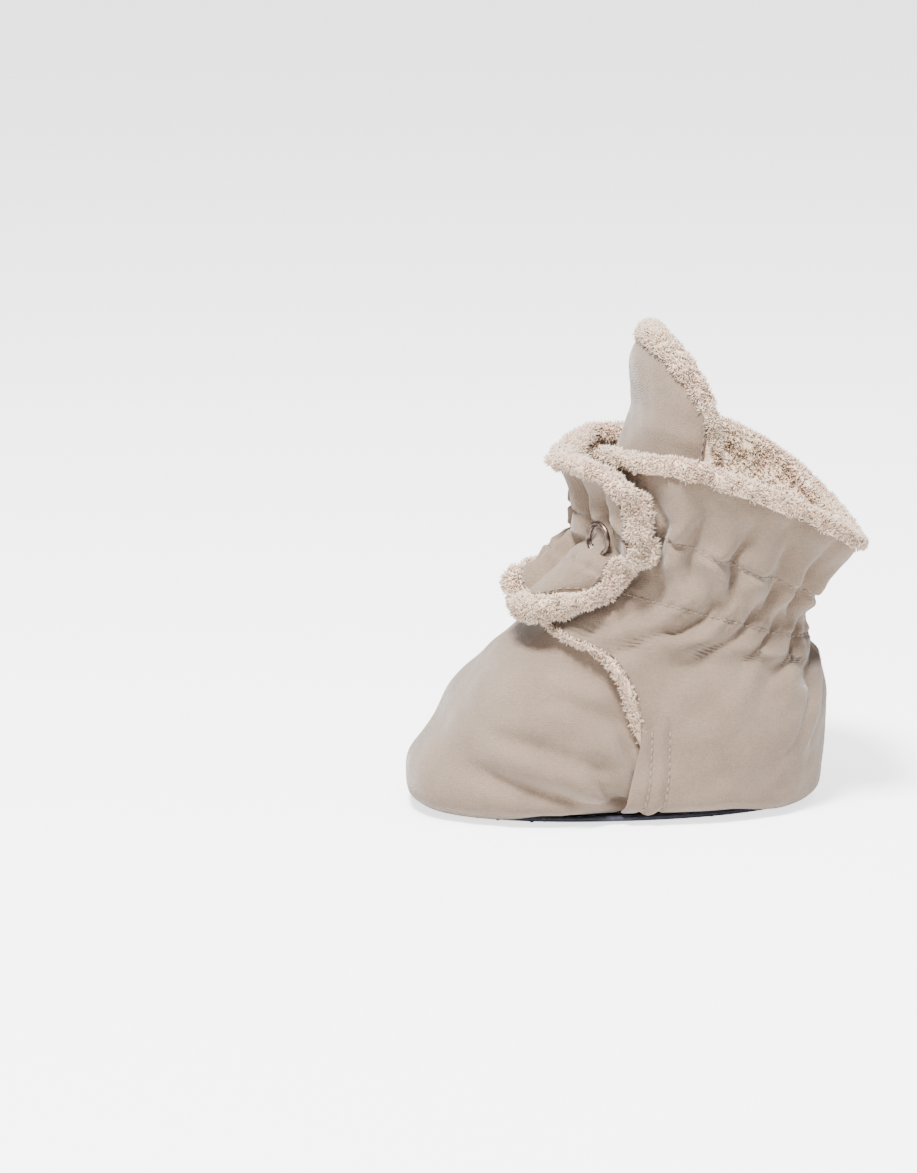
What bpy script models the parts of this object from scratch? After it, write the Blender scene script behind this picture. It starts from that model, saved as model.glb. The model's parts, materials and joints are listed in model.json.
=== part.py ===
"""One left baby bootie, built as its sewn panels, sole layers, elastic, threads and snap.

Frame: metres, +X to the toe, +Y to the wearer's left (the snap side), +Z up.
The ground is z = 0 and the origin is under the middle of the bootie.

Every soft panel is a strip of one of three smooth surfaces:
  ankle surface   the heel panel with its collar, and the underlap in front
  toe surface     the toe panel
  tongue surface  the tongue
The flap lies on the ankle surface, raised by its own layers and the snap.
"""
import math

import bmesh
import bpy
import numpy as np
from mathutils import Matrix, Vector

MM = 0.001

# ---- driving sizes (metres) ----
boot_length = 0.1140          # toe to heel, along the ground
boot_width = 0.0704           # across the widest part of the heel panel
boot_height = 0.0960          # ground to the top of the collar's front
shell_thickness = 0.0009      # woven outer
lining_thickness = 0.0022     # plush fleece, as it lies
layer_gap = 0.00035           # clear space between sewn layers
elastic_thickness = 0.0004
elastic_gap = 0.00030         # clear space on each side of the elastic
snap_standoff = 0.0038        # clear space for the snap between the flap and the heel panel
snap_diameter = 0.0095
hem_show = 0.0032             # how far the fleece shows past the woven edge
sole_thickness = 0.0014
grip_height = 0.0008
grip_diameter = 0.0040
grip_spacing = 0.0090
thread_radius = 0.00028
thread_gap = 0.0003

# ---- sizes that follow from those ----
kx = boot_length / 0.1140
ky = boot_width / 0.0704
kz = boot_height / 0.0960
layers = shell_thickness + layer_gap + lining_thickness
wrap_depth = layers + 3 * layer_gap
flap_lift = layers + snap_standoff
sole_top = grip_height + sole_thickness
flap_axis_x = 4.2 * kx
flap_axis_y = -27.8 * ky
tongue_axis_x = 10.0 * kx
tongue_axis_z = 64.2 * kz

# ---- the ankle surface, in millimetres, from the sole edge up to the rim ----
# back x, back z, widest x, widest z, front x, front z, half width, roundness
ankle_rows = np.array([
    (-46.5, 2.8, -8.0, 2.8, 58.0, 2.8, 29.5, 2.6),
    (-50.6, 6.0, -8.0, 5.9, 60.0, 5.9, 33.3, 2.6),
    (-52.4, 14.5, -8.0, 15.0, 58.0, 15.0, 34.9, 2.6),
    (-52.8, 24.0, -9.0, 26.0, 52.0, 26.0, 35.2, 2.6),
    (-51.6, 32.0, -10.0, 37.0, 45.0, 38.0, 34.2, 2.5),
    (-49.2, 38.5, -12.0, 46.0, 37.0, 48.5, 32.2, 2.4),
    (-46.0, 43.5, -13.0, 53.5, 22.0, 60.0, 30.2, 2.2),
    (-44.4, 49.0, -14.0, 61.0, 11.2, 69.0, 29.4, 2.0),
    (-46.0, 54.5, -15.0, 68.0, 9.4, 77.0, 29.8, 2.0),
    (-51.5, 59.0, -16.0, 76.0, 9.8, 84.0, 32.4, 2.0),
    (-57.4, 64.0, -17.0, 84.5, 10.8, 89.5, 35.8, 2.0),
    (-60.4, 69.5, -18.0, 91.5, 11.6, 93.5, 38.0, 2.0),
    (-61.0, 74.0, -18.0, 95.5, 12.2, 96.5, 38.6, 2.0),
])

# ---- the toe surface: side z, front x, front z, half width ----
toe_rows = np.array([
    (2.8, 57.4, 2.8, 28.6),
    (6.0, 60.5, 6.2, 32.6),
    (14.5, 59.8, 13.0, 33.7),
    (25.0, 54.6, 22.5, 33.6),
    (34.5, 46.6, 31.6, 32.4),
    (43.0, 37.4, 40.6, 30.2),
    (49.5, 27.4, 49.4, 27.6),
    (53.0, 18.0, 56.8, 25.0),
    (55.5, 10.8, 62.0, 22.6),
])

# ---- the tongue's middle line: height, x ----
tongue_line = np.array([
    (64.6, 9.6), (69.0, 4.2), (75.0, 3.0), (83.0, 3.6), (91.0, 5.0),
    (102.0, 3.8), (113.0, 1.2), (121.0, -2.0), (127.0, -5.2),
])


def spline(rows, v):
    """The row at level v of a table, on a smooth curve through its rows."""
    last = len(rows) - 1
    v = min(max(v, 0.0), float(last))
    i = min(int(v), last - 1)
    t = v - i
    a = rows[max(i - 1, 0)]
    b = rows[i]
    c = rows[i + 1]
    d = rows[min(i + 2, last)]
    m0 = (c - a) * 0.5
    m1 = (d - b) * 0.5
    t2 = t * t
    t3 = t2 * t
    return (2 * t3 - 3 * t2 + 1) * b + (t3 - 2 * t2 + t) * m0 + (3 * t2 - 2 * t3) * c + (t3 - t2) * m1


def smooth(a, b, x):
    """0 below a, 1 above b, with soft ends."""
    t = np.clip((x - a) / (b - a), 0.0, 1.0)
    return t * t * (3 - 2 * t)


def through(x, x0, z0, x1, z1, x2, z2):
    """A parabola through three points."""
    a = (x - x1) * (x - x2) / ((x0 - x1) * (x0 - x2))
    b = (x - x0) * (x - x2) / ((x1 - x0) * (x1 - x2))
    c = (x - x0) * (x - x1) / ((x2 - x0) * (x2 - x1))
    return z0 * a + z1 * b + z2 * c


TURNS = np.radians(np.linspace(-180.0, 180.0, 721))


def ankle_loop(v):
    """Points round the ankle surface at level v, in millimetres, from the heel by the far side,
    the front and the snap side back to the heel."""
    bx, bz, wx, wz, fx, fz, hw, n = spline(ankle_rows, v)
    c = np.cos(TURNS)
    s = np.sin(TURNS)
    far = (TURNS < 0) & (c > 0)
    near = (TURNS >= 0) & (c > 0)
    far_n = n + 2.0 * smooth(4.5, 7.0, v)
    flare = float(smooth(8.6, 12.0, v))
    p = np.where(far, far_n, np.where(near, n, 2.3 + 0.7 * flare))
    reach = np.where(c > 0, fx - wx, wx - bx)
    x = wx + np.sign(c) * reach * np.abs(c) ** (2 / p)
    y = np.sign(s) * hw * np.abs(s) ** (2 / p)
    z = through(x, bx, bz, wx, wz, fx, fz)
    # the collar leans: behind the flap its far side stands up and its snap side hangs a little
    behind = smooth(6.0, 30.0, -x)
    z = z + flare * behind * np.where(y < 0, 5.0, 2.6) * (-y / hw)
    # the flare is drawn in where the flap is sewn on
    axis_y = flap_axis_y / ky
    axis_x = flap_axis_x / kx
    pinch = (1 - smooth(1.5, 15.0, np.abs(x - axis_x))) * smooth(5.0, 6.5, v)
    over = np.where((y < axis_y) & (x > -12), axis_y - y, 0.0)
    y = y + over * pinch
    pts = np.stack([x * kx, y * ky, z * kz], axis=1)
    return pts


loops = {}


def measured(v):
    """A loop with its running length, 0 at the middle of the front."""
    key = round(v, 5)
    if key not in loops:
        pts = ankle_loop(v)
        run = np.concatenate([[0.0], np.cumsum(np.linalg.norm(np.diff(pts, axis=0), axis=1))])
        run = run - run[360]
        loops[key] = (pts, run)
    return loops[key]


def on_ankle(v, s):
    """The point at level v and running length s, which may run on past the heel."""
    pts, run = measured(v)
    s = (s - run[0]) % (run[-1] - run[0]) + run[0]
    return np.array([np.interp(s, run, pts[:, k]) for k in range(3)])


def ankle_point(v, s, depth):
    """A point on the ankle surface, moved inward by depth (millimetres)."""
    last = len(ankle_rows) - 1.0
    p = on_ankle(v, s)
    va = max(v - 0.12, 0.0)
    vb = min(v + 0.12, last)
    up = on_ankle(vb, s) - on_ankle(va, s)
    along = on_ankle(v, s + 1.2) - on_ankle(v, s - 1.2)
    out = np.cross(along, up)
    out = out / np.linalg.norm(out)
    return p - out * depth, out


def length_at_x(v, x, side):
    """Running length where a loop crosses x, in front of its widest part."""
    pts, run = measured(v)
    half = slice(360, 541) if side > 0 else slice(180, 361)
    xs = pts[half, 0]
    rs = run[half]
    order = np.argsort(xs)
    return float(np.interp(x, xs[order], rs[order]))


def length_at_y(v, y):
    """Running length where a loop crosses y on the snap side of the front."""
    pts, run = measured(v)
    return float(np.interp(y, pts[360:541, 1], run[360:541]))


def lining_depth(v):
    """Depth of the fleece's outer face, deeper over the elastic."""
    extra = (elastic_thickness + 2 * elastic_gap - layer_gap) / MM
    band = smooth(5.6, 6.2, v) * (1 - smooth(8.5, 9.1, v))
    return (shell_thickness + layer_gap) / MM + extra * float(band)


# ---- the toe surface ----
def inner_table():
    """The ankle surface sunk by one set of layers, as rows of x, y, z on the snap side."""
    levels = np.linspace(0.0, 8.0, 49)
    turns = np.linspace(362, 560, 67).astype(int)
    table = []
    for v in levels:
        pts, run = measured(float(v))
        row = [ankle_point(float(v), run[i], wrap_depth / MM)[0] for i in turns]
        table.append(np.array(row))
    return table


sunk = inner_table()


def inner_y(x, z):
    """Half width left inside the heel panel's layers at x and height z."""
    ys = []
    zs = []
    for row in sunk:
        order = np.argsort(row[:, 0])
        xs = row[order, 0]
        if x > xs[-1]:
            continue
        ys.append(float(np.interp(x, xs, row[order, 1])))
        zs.append(float(np.interp(x, xs, row[order, 2])))
    if len(zs) < 2:
        return 999.0
    return float(np.interp(z, zs, ys))


toe_back = -8.0


def toe_half(row, x, z):
    """Half width of the toe surface at x on one row."""
    side_z, fx, fz, hw = row
    mid = 6.0
    if x <= mid:
        own = hw
    else:
        own = hw * max(1 - ((x - mid) / (fx - mid)) ** 2.5, 0.0) ** (1 / 2.5)
    clear_to = 7.0 + 20.0 * float(smooth(34.0, 48.0, z))
    weight = float(smooth(clear_to, clear_to + 14.0, x))
    room = inner_y(x * kx, z * kz) / ky
    kept = min(own, room)
    return kept + (own - kept) * weight


def toe_outline(row):
    """One side of a toe row, from the middle of the front back to the side, in metres/1000."""
    side_z, fx, fz, hw = row
    pts = []
    for a in np.linspace(0.0, 90.0, 91):
        x = toe_back + (fx - toe_back) * math.cos(math.radians(a)) ** 0.8
        t = max((x - toe_back) / (fx - toe_back), 0.0)
        z = side_z + (fz - side_z) * t ** 1.3
        y = toe_half(row, x, z)
        pts.append((x * kx, y * ky, z * kz))
    pts = np.array(pts)
    pts[0, 1] = 0.0
    return pts


toe_cache = {}


def on_toe(v, u):
    """The toe surface at level v and u from -1 (far side) to 1 (snap side)."""
    key = round(v, 4)
    if key not in toe_cache:
        pts = toe_outline(spline(toe_rows, v))
        run = np.concatenate([[0.0], np.cumsum(np.linalg.norm(np.diff(pts, axis=0), axis=1))])
        toe_cache[key] = (pts, run / run[-1])
    pts, run = toe_cache[key]
    p = np.array([np.interp(abs(u), run, pts[:, k]) for k in range(3)])
    if u < 0:
        p[1] = -p[1]
    return p


def toe_point(u, v, depth):
    """A point on the toe surface, moved inward by depth."""
    last = len(toe_rows) - 1.0
    p = on_toe(v, u)
    up = on_toe(min(v + 0.15, last), u) - on_toe(max(v - 0.15, 0.0), u)
    ua = max(u - 0.02, -1.0)
    ub = min(u + 0.02, 1.0)
    along = on_toe(v, ub) - on_toe(v, ua)
    out = np.cross(along, up)
    out = out / np.linalg.norm(out)
    return p - out * depth


# ---- the tongue surface ----
tongue_radius = 27.0
tongue_reach = 80.0


def tongue_span(angle, low, high):
    """Bottom and top of the tongue at an angle round it."""
    a = min(abs(angle) / tongue_reach, 1.0)
    bottom = 64.9 + 24.0 * a ** 2.2
    side_top = 92.0
    top = side_top + (high - side_top) * math.sqrt(max(1 - a * a, 0.0))
    return bottom + low, top


def on_tongue(angle, z):
    """A point of the tongue surface, in millimetres."""
    front = float(np.interp(z, tongue_line[:, 0], tongue_line[:, 1]))
    around = math.radians(angle)
    radius = tongue_radius - 1.6 * float(smooth(108.0, 127.0, z))
    x = front - radius * (1 - math.cos(around))
    return np.array([x * kx, radius * math.sin(around) * ky, z * kz])


def tongue_point(u, t, depth, reach, low, high):
    """Across u and up t, moved inward by depth."""
    angle = (2 * u - 1) * reach
    bottom, top = tongue_span(angle, low, high)
    z = bottom + (top - bottom) * t
    p = on_tongue(angle, z)
    up = on_tongue(angle, z + 2.0) - on_tongue(angle, z - 2.0)
    along = on_tongue(angle + 2, z) - on_tongue(angle - 2, z)
    out = np.cross(along, up)
    out = out / np.linalg.norm(out)
    return p - out * depth


# ---- scene, materials and the solid builders ----
for ob in list(bpy.data.objects):
    bpy.data.objects.remove(ob, do_unlink=True)

boot = bpy.data.collections.new("baby_bootie")
bpy.context.scene.collection.children.link(boot)
cutters = bpy.data.collections.new("cutters")
bpy.context.scene.collection.children.link(cutters)


def material(name, colour, roughness, metallic=0.0):
    mat = bpy.data.materials.new(name)
    mat.use_nodes = True
    node = mat.node_tree.nodes["Principled BSDF"]
    node.inputs["Base Color"].default_value = (*colour, 1.0)
    node.inputs["Roughness"].default_value = roughness
    node.inputs["Metallic"].default_value = metallic
    mat.diffuse_color = (*colour, 1.0)
    return mat


woven = material("woven_shell", (0.50, 0.43, 0.37), 0.85)
fleece = material("plush_fleece", (0.79, 0.68, 0.57), 0.95)
sole_fabric = material("grip_sole", (0.012, 0.014, 0.030), 0.75)
foam = material("sole_foam", (0.75, 0.75, 0.72), 0.9)
elastic = material("elastic_band", (0.85, 0.84, 0.80), 0.8)
thread = material("sewing_thread", (0.40, 0.33, 0.28), 0.7)
snap_metal = material("dark_snap_metal", (0.10, 0.075, 0.065), 0.3, 1.0)


def finished(bm, name, mat, parent=None):
    if bm.calc_volume(signed=True) < 0:
        bmesh.ops.reverse_faces(bm, faces=bm.faces)
    mesh = bpy.data.meshes.new(name)
    bm.to_mesh(mesh)
    bm.free()
    mesh.materials.append(mat)
    ob = bpy.data.objects.new(name, mesh)
    boot.objects.link(ob)
    if parent is not None:
        origin = parent.matrix_world.translation
        mesh.transform(Matrix.Translation(-origin))
        ob.parent = parent
    return ob


def empty(name, place):
    ob = bpy.data.objects.new(name, None)
    ob.empty_display_size = 0.01
    ob.location = place
    boot.objects.link(ob)
    bpy.context.view_layer.update()
    return ob


def panel(name, place, columns, rows, mat, parent=None):
    """A sewn panel: a flat slab bent onto its surface. place(u, t, side) gives millimetres,
    with side 0 on the outer face and 1 on the inner face."""
    bm = bmesh.new()
    bmesh.ops.create_grid(bm, x_segments=columns, y_segments=rows, size=0.5)
    made = bmesh.ops.extrude_face_region(bm, geom=list(bm.faces), use_keep_orig=True)
    inner = [g for g in made["geom"] if isinstance(g, bmesh.types.BMVert)]
    bmesh.ops.translate(bm, verts=inner, vec=(0.0, 0.0, 1.0))
    bmesh.ops.recalc_face_normals(bm, faces=bm.faces)
    for vert in bm.verts:
        u = min(max(vert.co.x + 0.5, 0.0), 1.0)
        t = min(max(vert.co.y + 0.5, 0.0), 1.0)
        vert.co = Vector(place(u, t, round(vert.co.z))) * MM
    return finished(bm, name, mat, parent)


def cord(name, points, mat, parent=None, sides=5):
    """A thread: a thin tube with closed ends along points in millimetres."""
    bm = bmesh.new()
    count = len(points)
    first = None
    last = None
    for i, p in enumerate(points):
        a = points[max(i - 1, 0)]
        b = points[min(i + 1, count - 1)]
        along = Vector(b) - Vector(a)
        turn = along.to_track_quat("Z", "X").to_matrix().to_4x4()
        at = Matrix.Translation(Vector(p) * MM) @ turn
        ring = bmesh.ops.create_circle(bm, cap_ends=i in (0, count - 1), segments=sides,
                                       radius=thread_radius, matrix=at)
        verts = ring["verts"]
        if first is not None:
            edges = [e for e in bm.edges if all(v in last or v in verts for v in e.verts)]
            keep = [e for e in edges if all(v in last for v in e.verts)]
            keep += [e for e in edges if all(v in verts for v in e.verts)]
            bmesh.ops.bridge_loops(bm, edges=keep)
        first = True
        last = verts
    bmesh.ops.recalc_face_normals(bm, faces=bm.faces)
    return finished(bm, name, mat, parent)


def turned(name, outline, at, mat, parent=None, segments=24):
    """A turned metal piece from (radius, height) points, standing on the frame at."""
    bm = bmesh.new()
    verts = [bm.verts.new((r, 0.0, h)) for r, h in outline]
    closed = outline[0][0] > 0.0
    edges = [bm.edges.new(pair) for pair in zip(verts[:-1], verts[1:])]
    if closed:
        edges.append(bm.edges.new((verts[-1], verts[0])))
    bmesh.ops.spin(bm, geom=verts + edges, axis=(0, 0, 1), cent=(0, 0, 0),
                   angle=math.tau, steps=segments, use_duplicate=False)
    bmesh.ops.remove_doubles(bm, verts=bm.verts, dist=0.00001)
    bmesh.ops.recalc_face_normals(bm, faces=bm.faces)
    bmesh.ops.transform(bm, matrix=at, verts=bm.verts)
    return finished(bm, name, mat, parent)


flap_hinge = empty("flap_hinge", (flap_axis_x * MM, flap_axis_y * MM, 70.0 * kz * MM))
tongue_hinge = empty("tongue_hinge", (tongue_axis_x * MM, 0.0, tongue_axis_z * MM))

hem = hem_show / MM
shell = shell_thickness / MM
lining = lining_thickness / MM


# ---- heel panel ----
def heel_ends(v, extra):
    """Running lengths of the heel panel's far end and snap-side end at level v."""
    shape_v = [0.0, 3.0, 3.6, 4.2, 5.0, 5.5]
    edge_x = [3.0, 3.0, 4.0, 6.5, 12.5, 18.0]
    low = float(np.interp(v, shape_v, edge_x)) + extra
    near_side = length_at_x(v, low * kx, 1)
    front_y = (8.0 - extra * 0.5) * ky
    near_front = length_at_y(v, front_y)
    w = float(smooth(4.7, 6.1, v))
    near = near_side * (1 - w) + near_front * w
    far_x = 3.0 + extra * (1 - float(smooth(4.4, 5.0, v))) - 0.6 * float(smooth(4.6, 5.4, v))
    far = length_at_x(v, far_x * kx, -1)
    return far, near


def round_heel(v, near, far, u):
    """Running length a share u of the way from the snap side, round the heel, to the far side."""
    pts, run = measured(v)
    total = run[-1] - run[0]
    return near + (total - (near - far)) * u


# every panel on the ankle surface bends at these levels, so that layers stay parallel
levels = [0.0, 0.7, 1.7, 2.9, 3.9, 4.6, 5.0, 5.4, 5.9, 6.3, 6.5, 7.0, 7.6, 8.2, 8.4, 9.0, 9.7, 10.4,
          11.0, 11.6]
band_low = levels.index(6.5)
band_high = levels.index(8.2)
heel_columns = 34
flap_columns = 22


def heel_place(u, v, depth, extra_near=0.0, extra_far=0.0):
    """A point of the heel panel a share u round it, from the snap side to the far side."""
    far = heel_ends(v, extra_far)[0]
    near = heel_ends(v, extra_near)[1]
    return ankle_point(v, round_heel(v, near, far, u), depth)[0]


def heel_shell_place(u, t, side):
    v = levels[round(t * (len(levels) - 2))]
    return heel_place(u, v, shell if side else 0.0)


def heel_lining_place(u, t, side):
    """The shell's own columns, with one more past each end and one more level at the rim."""
    v = levels[round(t * (len(levels) - 1))]
    column = round(u * (heel_columns + 2)) - 1
    depth = through_layers if side else lining_depth(v)
    if column < 0:
        return heel_place(0.0, v, depth, extra_near=hem)
    if column > heel_columns:
        return heel_place(1.0, v, depth, extra_far=hem)
    return heel_place(column / heel_columns, v, depth)


def heel_elastic_place(u, t, side):
    v = levels[band_low + round(t * (band_high - band_low))]
    column = 4 + u * (heel_columns - 5)
    top = (shell_thickness + elastic_gap) / MM
    depth = top + (elastic_thickness / MM if side else 0.0)
    return heel_place(column / heel_columns, v, depth)


inside_shell = shell + layer_gap / MM
through_layers = layers / MM
panel("heel_shell", heel_shell_place, heel_columns, len(levels) - 2, woven)
panel("heel_lining", heel_lining_place, heel_columns + 2, len(levels) - 1, fleece)
panel("heel_elastic", heel_elastic_place, heel_columns - 5, band_high - band_low, elastic)


# ---- toe panel ----
def toe_place(u, t, side, low, high, outer, inner):
    v = low + (high - low) * t
    return toe_point(2 * u - 1, v, outer if side == 0 else inner)


toe_top = len(toe_rows) - 1.0
panel("toe_shell", lambda u, t, side: toe_place(
    u, t, side, 0.0, toe_top, 0.0, shell), 28, 10, woven)
panel("toe_lining", lambda u, t, side: toe_place(
    u, t, side, 0.0, toe_top, inside_shell, through_layers), 28, 10, fleece)

# ---- tongue ----
panel("tongue_shell", lambda u, t, side: tongue_point(
    u, t, 0.0 if side == 0 else shell, 72.0, 0.0, 122.0), 14, 9, woven, tongue_hinge)
panel("tongue_lining", lambda u, t, side: tongue_point(
    u, t, inside_shell if side == 0 else through_layers, 80.0, 0.0, 127.0), 14, 10, fleece,
    tongue_hinge)


# ---- flap ----
def flap_lift_at(s, v):
    """How far the flap's outer face stands off the ankle surface."""
    start = length_at_x(v, (flap_axis_x + 1.3), -1)
    front = length_at_y(v, 4.0 * ky)
    share = smooth(start, front, s)
    return flap_lift / MM * float(share)


def flap_end(v, extra):
    """Running length of the flap's near end at level v."""
    at_v = [5.4, 6.3, 7.6, 8.6, 10.0, 11.6]
    edge_x = [20.0, 8.5, 1.8, 0.0, 2.4, 7.5]
    return length_at_x(v, (float(np.interp(v, at_v, edge_x)) - extra) * kx, 1)


def flap_level(level, u):
    """The flap's bottom edge is cut higher in front than at its two ends."""
    low = 6.0 - 0.5 * float(smooth(0.6, 1.0, u)) - 0.4 * (1 - float(smooth(0.0, 0.3, u)))
    if level >= 6.3:
        return level
    if level < 5.4:
        return low - (5.4 - level)
    return low + (level - 5.4) * (6.3 - low) / 0.9


def flap_place(u, level, depth_at, extra=0.0):
    v = flap_level(level, u)
    depth = depth_at(v)
    clear = 1.3 + 2.6 * (1 - float(smooth(5.2, 6.6, v)))
    far = length_at_x(v, flap_axis_x + clear, -1)
    s = far + (flap_end(v, 0.0) - far) * u
    if extra:
        s = flap_end(v, extra)
    return ankle_point(v, s, depth - flap_lift_at(s, v))[0]


flap_low = levels.index(5.4)


def flap_shell_place(u, t, side):
    level = levels[flap_low + round(t * (len(levels) - 2 - flap_low))]
    return flap_place(u, level, lambda v: shell if side else 0.0)


def flap_lining_place(u, t, side):
    """The shell's own columns and levels, with one more level below, one above and one column
    past the near end."""
    row = round(t * (len(levels) - flap_low))
    level = levels[flap_low + row - 1] if row else levels[flap_low] - 0.35

    def depth_at(v):
        return through_layers if side else lining_depth(v)
    column = round(u * (flap_columns + 1))
    if column > flap_columns:
        return flap_place(1.0, level, depth_at, hem)
    return flap_place(column / flap_columns, level, depth_at)


def flap_elastic_place(u, t, side):
    v = levels[band_low + round(t * (band_high - band_low))]
    column = 1 + round(u * (flap_columns // 2))
    top = (shell_thickness + elastic_gap) / MM
    depth = top + (elastic_thickness / MM if side else 0.0)
    return flap_place(column / flap_columns, v, lambda level: depth)


panel("flap_shell", flap_shell_place, flap_columns, len(levels) - 2 - flap_low, woven, flap_hinge)
panel("flap_lining", flap_lining_place, flap_columns + 1, len(levels) - flap_low, fleece,
      flap_hinge)
panel("flap_elastic", flap_elastic_place, flap_columns // 2, band_high - band_low, elastic,
      flap_hinge)

# ---- snap ----
snap_v = 7.9
snap_s = length_at_y(snap_v, 17.0 * ky)
snap_spot, snap_out = ankle_point(snap_v, snap_s, 0.0)
snap_turn = Vector(snap_out).to_track_quat("Z", "Y").to_matrix().to_4x4()


def on_snap(height):
    """A frame on the snap's axis, height millimetres out from the heel panel's woven face."""
    place = (Vector(snap_spot) + Vector(snap_out) * height) * MM
    return Matrix.Translation(place) @ snap_turn


ring = snap_diameter / 2
turned("snap_ring", [
    (ring - 0.0010, 0.0), (ring - 0.0003, 0.0), (ring, 0.0004), (ring - 0.0002, 0.0009),
    (ring - 0.0007, 0.0011), (ring - 0.0012, 0.0009), (ring - 0.0014, 0.0004),
], on_snap(flap_lift / MM + 1.6), snap_metal, flap_hinge)
turned("snap_socket", [
    (0.0026, 0.0), (ring - 0.0004, 0.0), (ring - 0.0002, 0.0003), (ring - 0.0004, 0.0010),
    (0.0032, 0.0012), (0.0026, 0.0008),
], on_snap(2.05), snap_metal, flap_hinge)
turned("snap_stud", [
    (0.0, 0.0), (ring - 0.0004, 0.0), (ring - 0.0003, 0.0004), (0.0020, 0.0006),
    (0.00135, 0.0007), (0.00135, 0.0012), (0.0009, 0.0016), (0.0, 0.0016),
], on_snap(0.95), snap_metal)
turned("snap_back_ring", [
    (0.0030, 0.0), (ring - 0.0004, 0.0), (ring - 0.0004, 0.0005), (0.0030, 0.0007),
], on_snap(-through_layers - 1.45), snap_metal)


# ---- threads ----
def thread_along(points_of, count):
    return [points_of(i / (count - 1)) for i in range(count)]


lift_thread = (thread_gap + thread_radius) / MM


def side_thread(x, side):
    def at(share):
        v = 0.55 + 2.55 * share
        return ankle_point(v, length_at_x(v, x * kx, side), -lift_thread)[0]
    return thread_along(at, 12)


cord("side_thread_near_front", side_thread(1.2, 1), thread)
cord("side_thread_near_rear", side_thread(-3.8, 1), thread)
cord("side_thread_far_front", side_thread(1.2, -1), thread)
cord("side_thread_far_rear", side_thread(-3.8, -1), thread)


def heel_gather(v):
    return [heel_place(i / heel_columns, v, -lift_thread) for i in range(5, heel_columns)]


def flap_gather(v):
    return [flap_place(i / flap_columns, v, lambda level: -lift_thread)
            for i in range(1, flap_columns * 3 // 5)]


cord("gather_thread_heel_lower", heel_gather(6.3), thread)
cord("gather_thread_heel_upper", heel_gather(8.4), thread)
cord("gather_thread_flap_lower", flap_gather(6.3), thread, flap_hinge)
cord("gather_thread_flap_upper", flap_gather(8.4), thread, flap_hinge)


# ---- sole ----
def sole_outline(inset, waist, count=56):
    pts = []
    for i in range(count):
        a = math.tau * i / count
        c = math.cos(a)
        s = math.sin(a)
        reach = 52.4 if c > 0 else 51.6
        x = 4.6 + math.copysign(abs(c) ** 0.86, c) * (reach - inset / kx)
        half = 28.9 if c > 0 else 28.9 + (27.4 - 28.9) * abs(c)
        y = math.copysign(abs(s) ** 0.86, s) * (half - inset / ky)
        dent = waist * math.exp(-((x + 2.0) / 12.0) ** 4)
        pts.append((x * kx * MM, (y - math.copysign(dent, s) * min(abs(s) * 3, 1)) * ky * MM))
    return pts


def slab(name, outline, low, high, mat):
    bm = bmesh.new()
    verts = [bm.verts.new((x, y, low)) for x, y in outline]
    face = bm.faces.new(verts)
    made = bmesh.ops.extrude_face_region(bm, geom=[face], use_keep_orig=True)
    top = [g for g in made["geom"] if isinstance(g, bmesh.types.BMVert)]
    bmesh.ops.translate(bm, verts=top, vec=(0.0, 0.0, high - low))
    bmesh.ops.recalc_face_normals(bm, faces=bm.faces)
    return finished(bm, name, mat)


outsole = slab("outsole", sole_outline(0.0, 0.0), grip_height, sole_top, sole_fabric)
foam_low = sole_top + layer_gap
foam_high = foam_low + 0.0014
insole_low = foam_high + layer_gap
insole_high = insole_low + 0.0026
slab("sole_padding", sole_outline(6.0, 2.6), foam_low, foam_high, foam)
slab("insole_lining", sole_outline(6.6, 2.6), insole_low, insole_high, fleece)

# grip dots, in staggered rows, each standing on the ground
dots = bmesh.new()
inside = sole_outline(grip_diameter / 2 / MM + 0.9, 0.0)
row_step = grip_spacing * math.sqrt(3) / 2
for j in range(-8, 9):
    for i in range(-8, 9):
        x = (i + (0.5 if j % 2 else 0.0)) * grip_spacing
        y = j * row_step
        hit = 0
        for (x1, y1), (x2, y2) in zip(inside, inside[1:] + inside[:1]):
            if (y1 > y) != (y2 > y) and x < x1 + (y - y1) * (x2 - x1) / (y2 - y1):
                hit += 1
        if hit % 2 == 0:
            continue
        at = Matrix.Translation((x, y, (grip_height + 0.0004) / 2))
        bmesh.ops.create_cone(dots, cap_ends=True, segments=8, radius1=grip_diameter * 0.42,
                              radius2=grip_diameter / 2, depth=grip_height + 0.0004, matrix=at)
dot_mesh = bpy.data.meshes.new("grip_dots_cutter")
dots.to_mesh(dot_mesh)
dots.free()
dot_tool = bpy.data.objects.new("grip_dots_cutter", dot_mesh)
cutters.objects.link(dot_tool)
dot_tool.hide_render = True
dot_tool.display_type = "WIRE"
join = outsole.modifiers.new("grip_dots", "BOOLEAN")
join.operation = "UNION"
join.solver = "EXACT"
join.object = dot_tool
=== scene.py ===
# %% [markdown]
# # A baby bootie in Blender
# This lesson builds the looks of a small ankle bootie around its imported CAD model. The bootie has
# a brushed woven outer, a plush fleece lining that rolls over every edge, an elastic ankle, a
# tall tongue and a flap that closes with one ring snap. Every piece is placed from the same
# named surfaces that the CAD panels follow, so the cloth goes exactly where the joints expect it.

# %% Load the frame
import json
import math

import bmesh
import bpy
import numpy as np
from mathutils import Matrix, Vector

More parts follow.
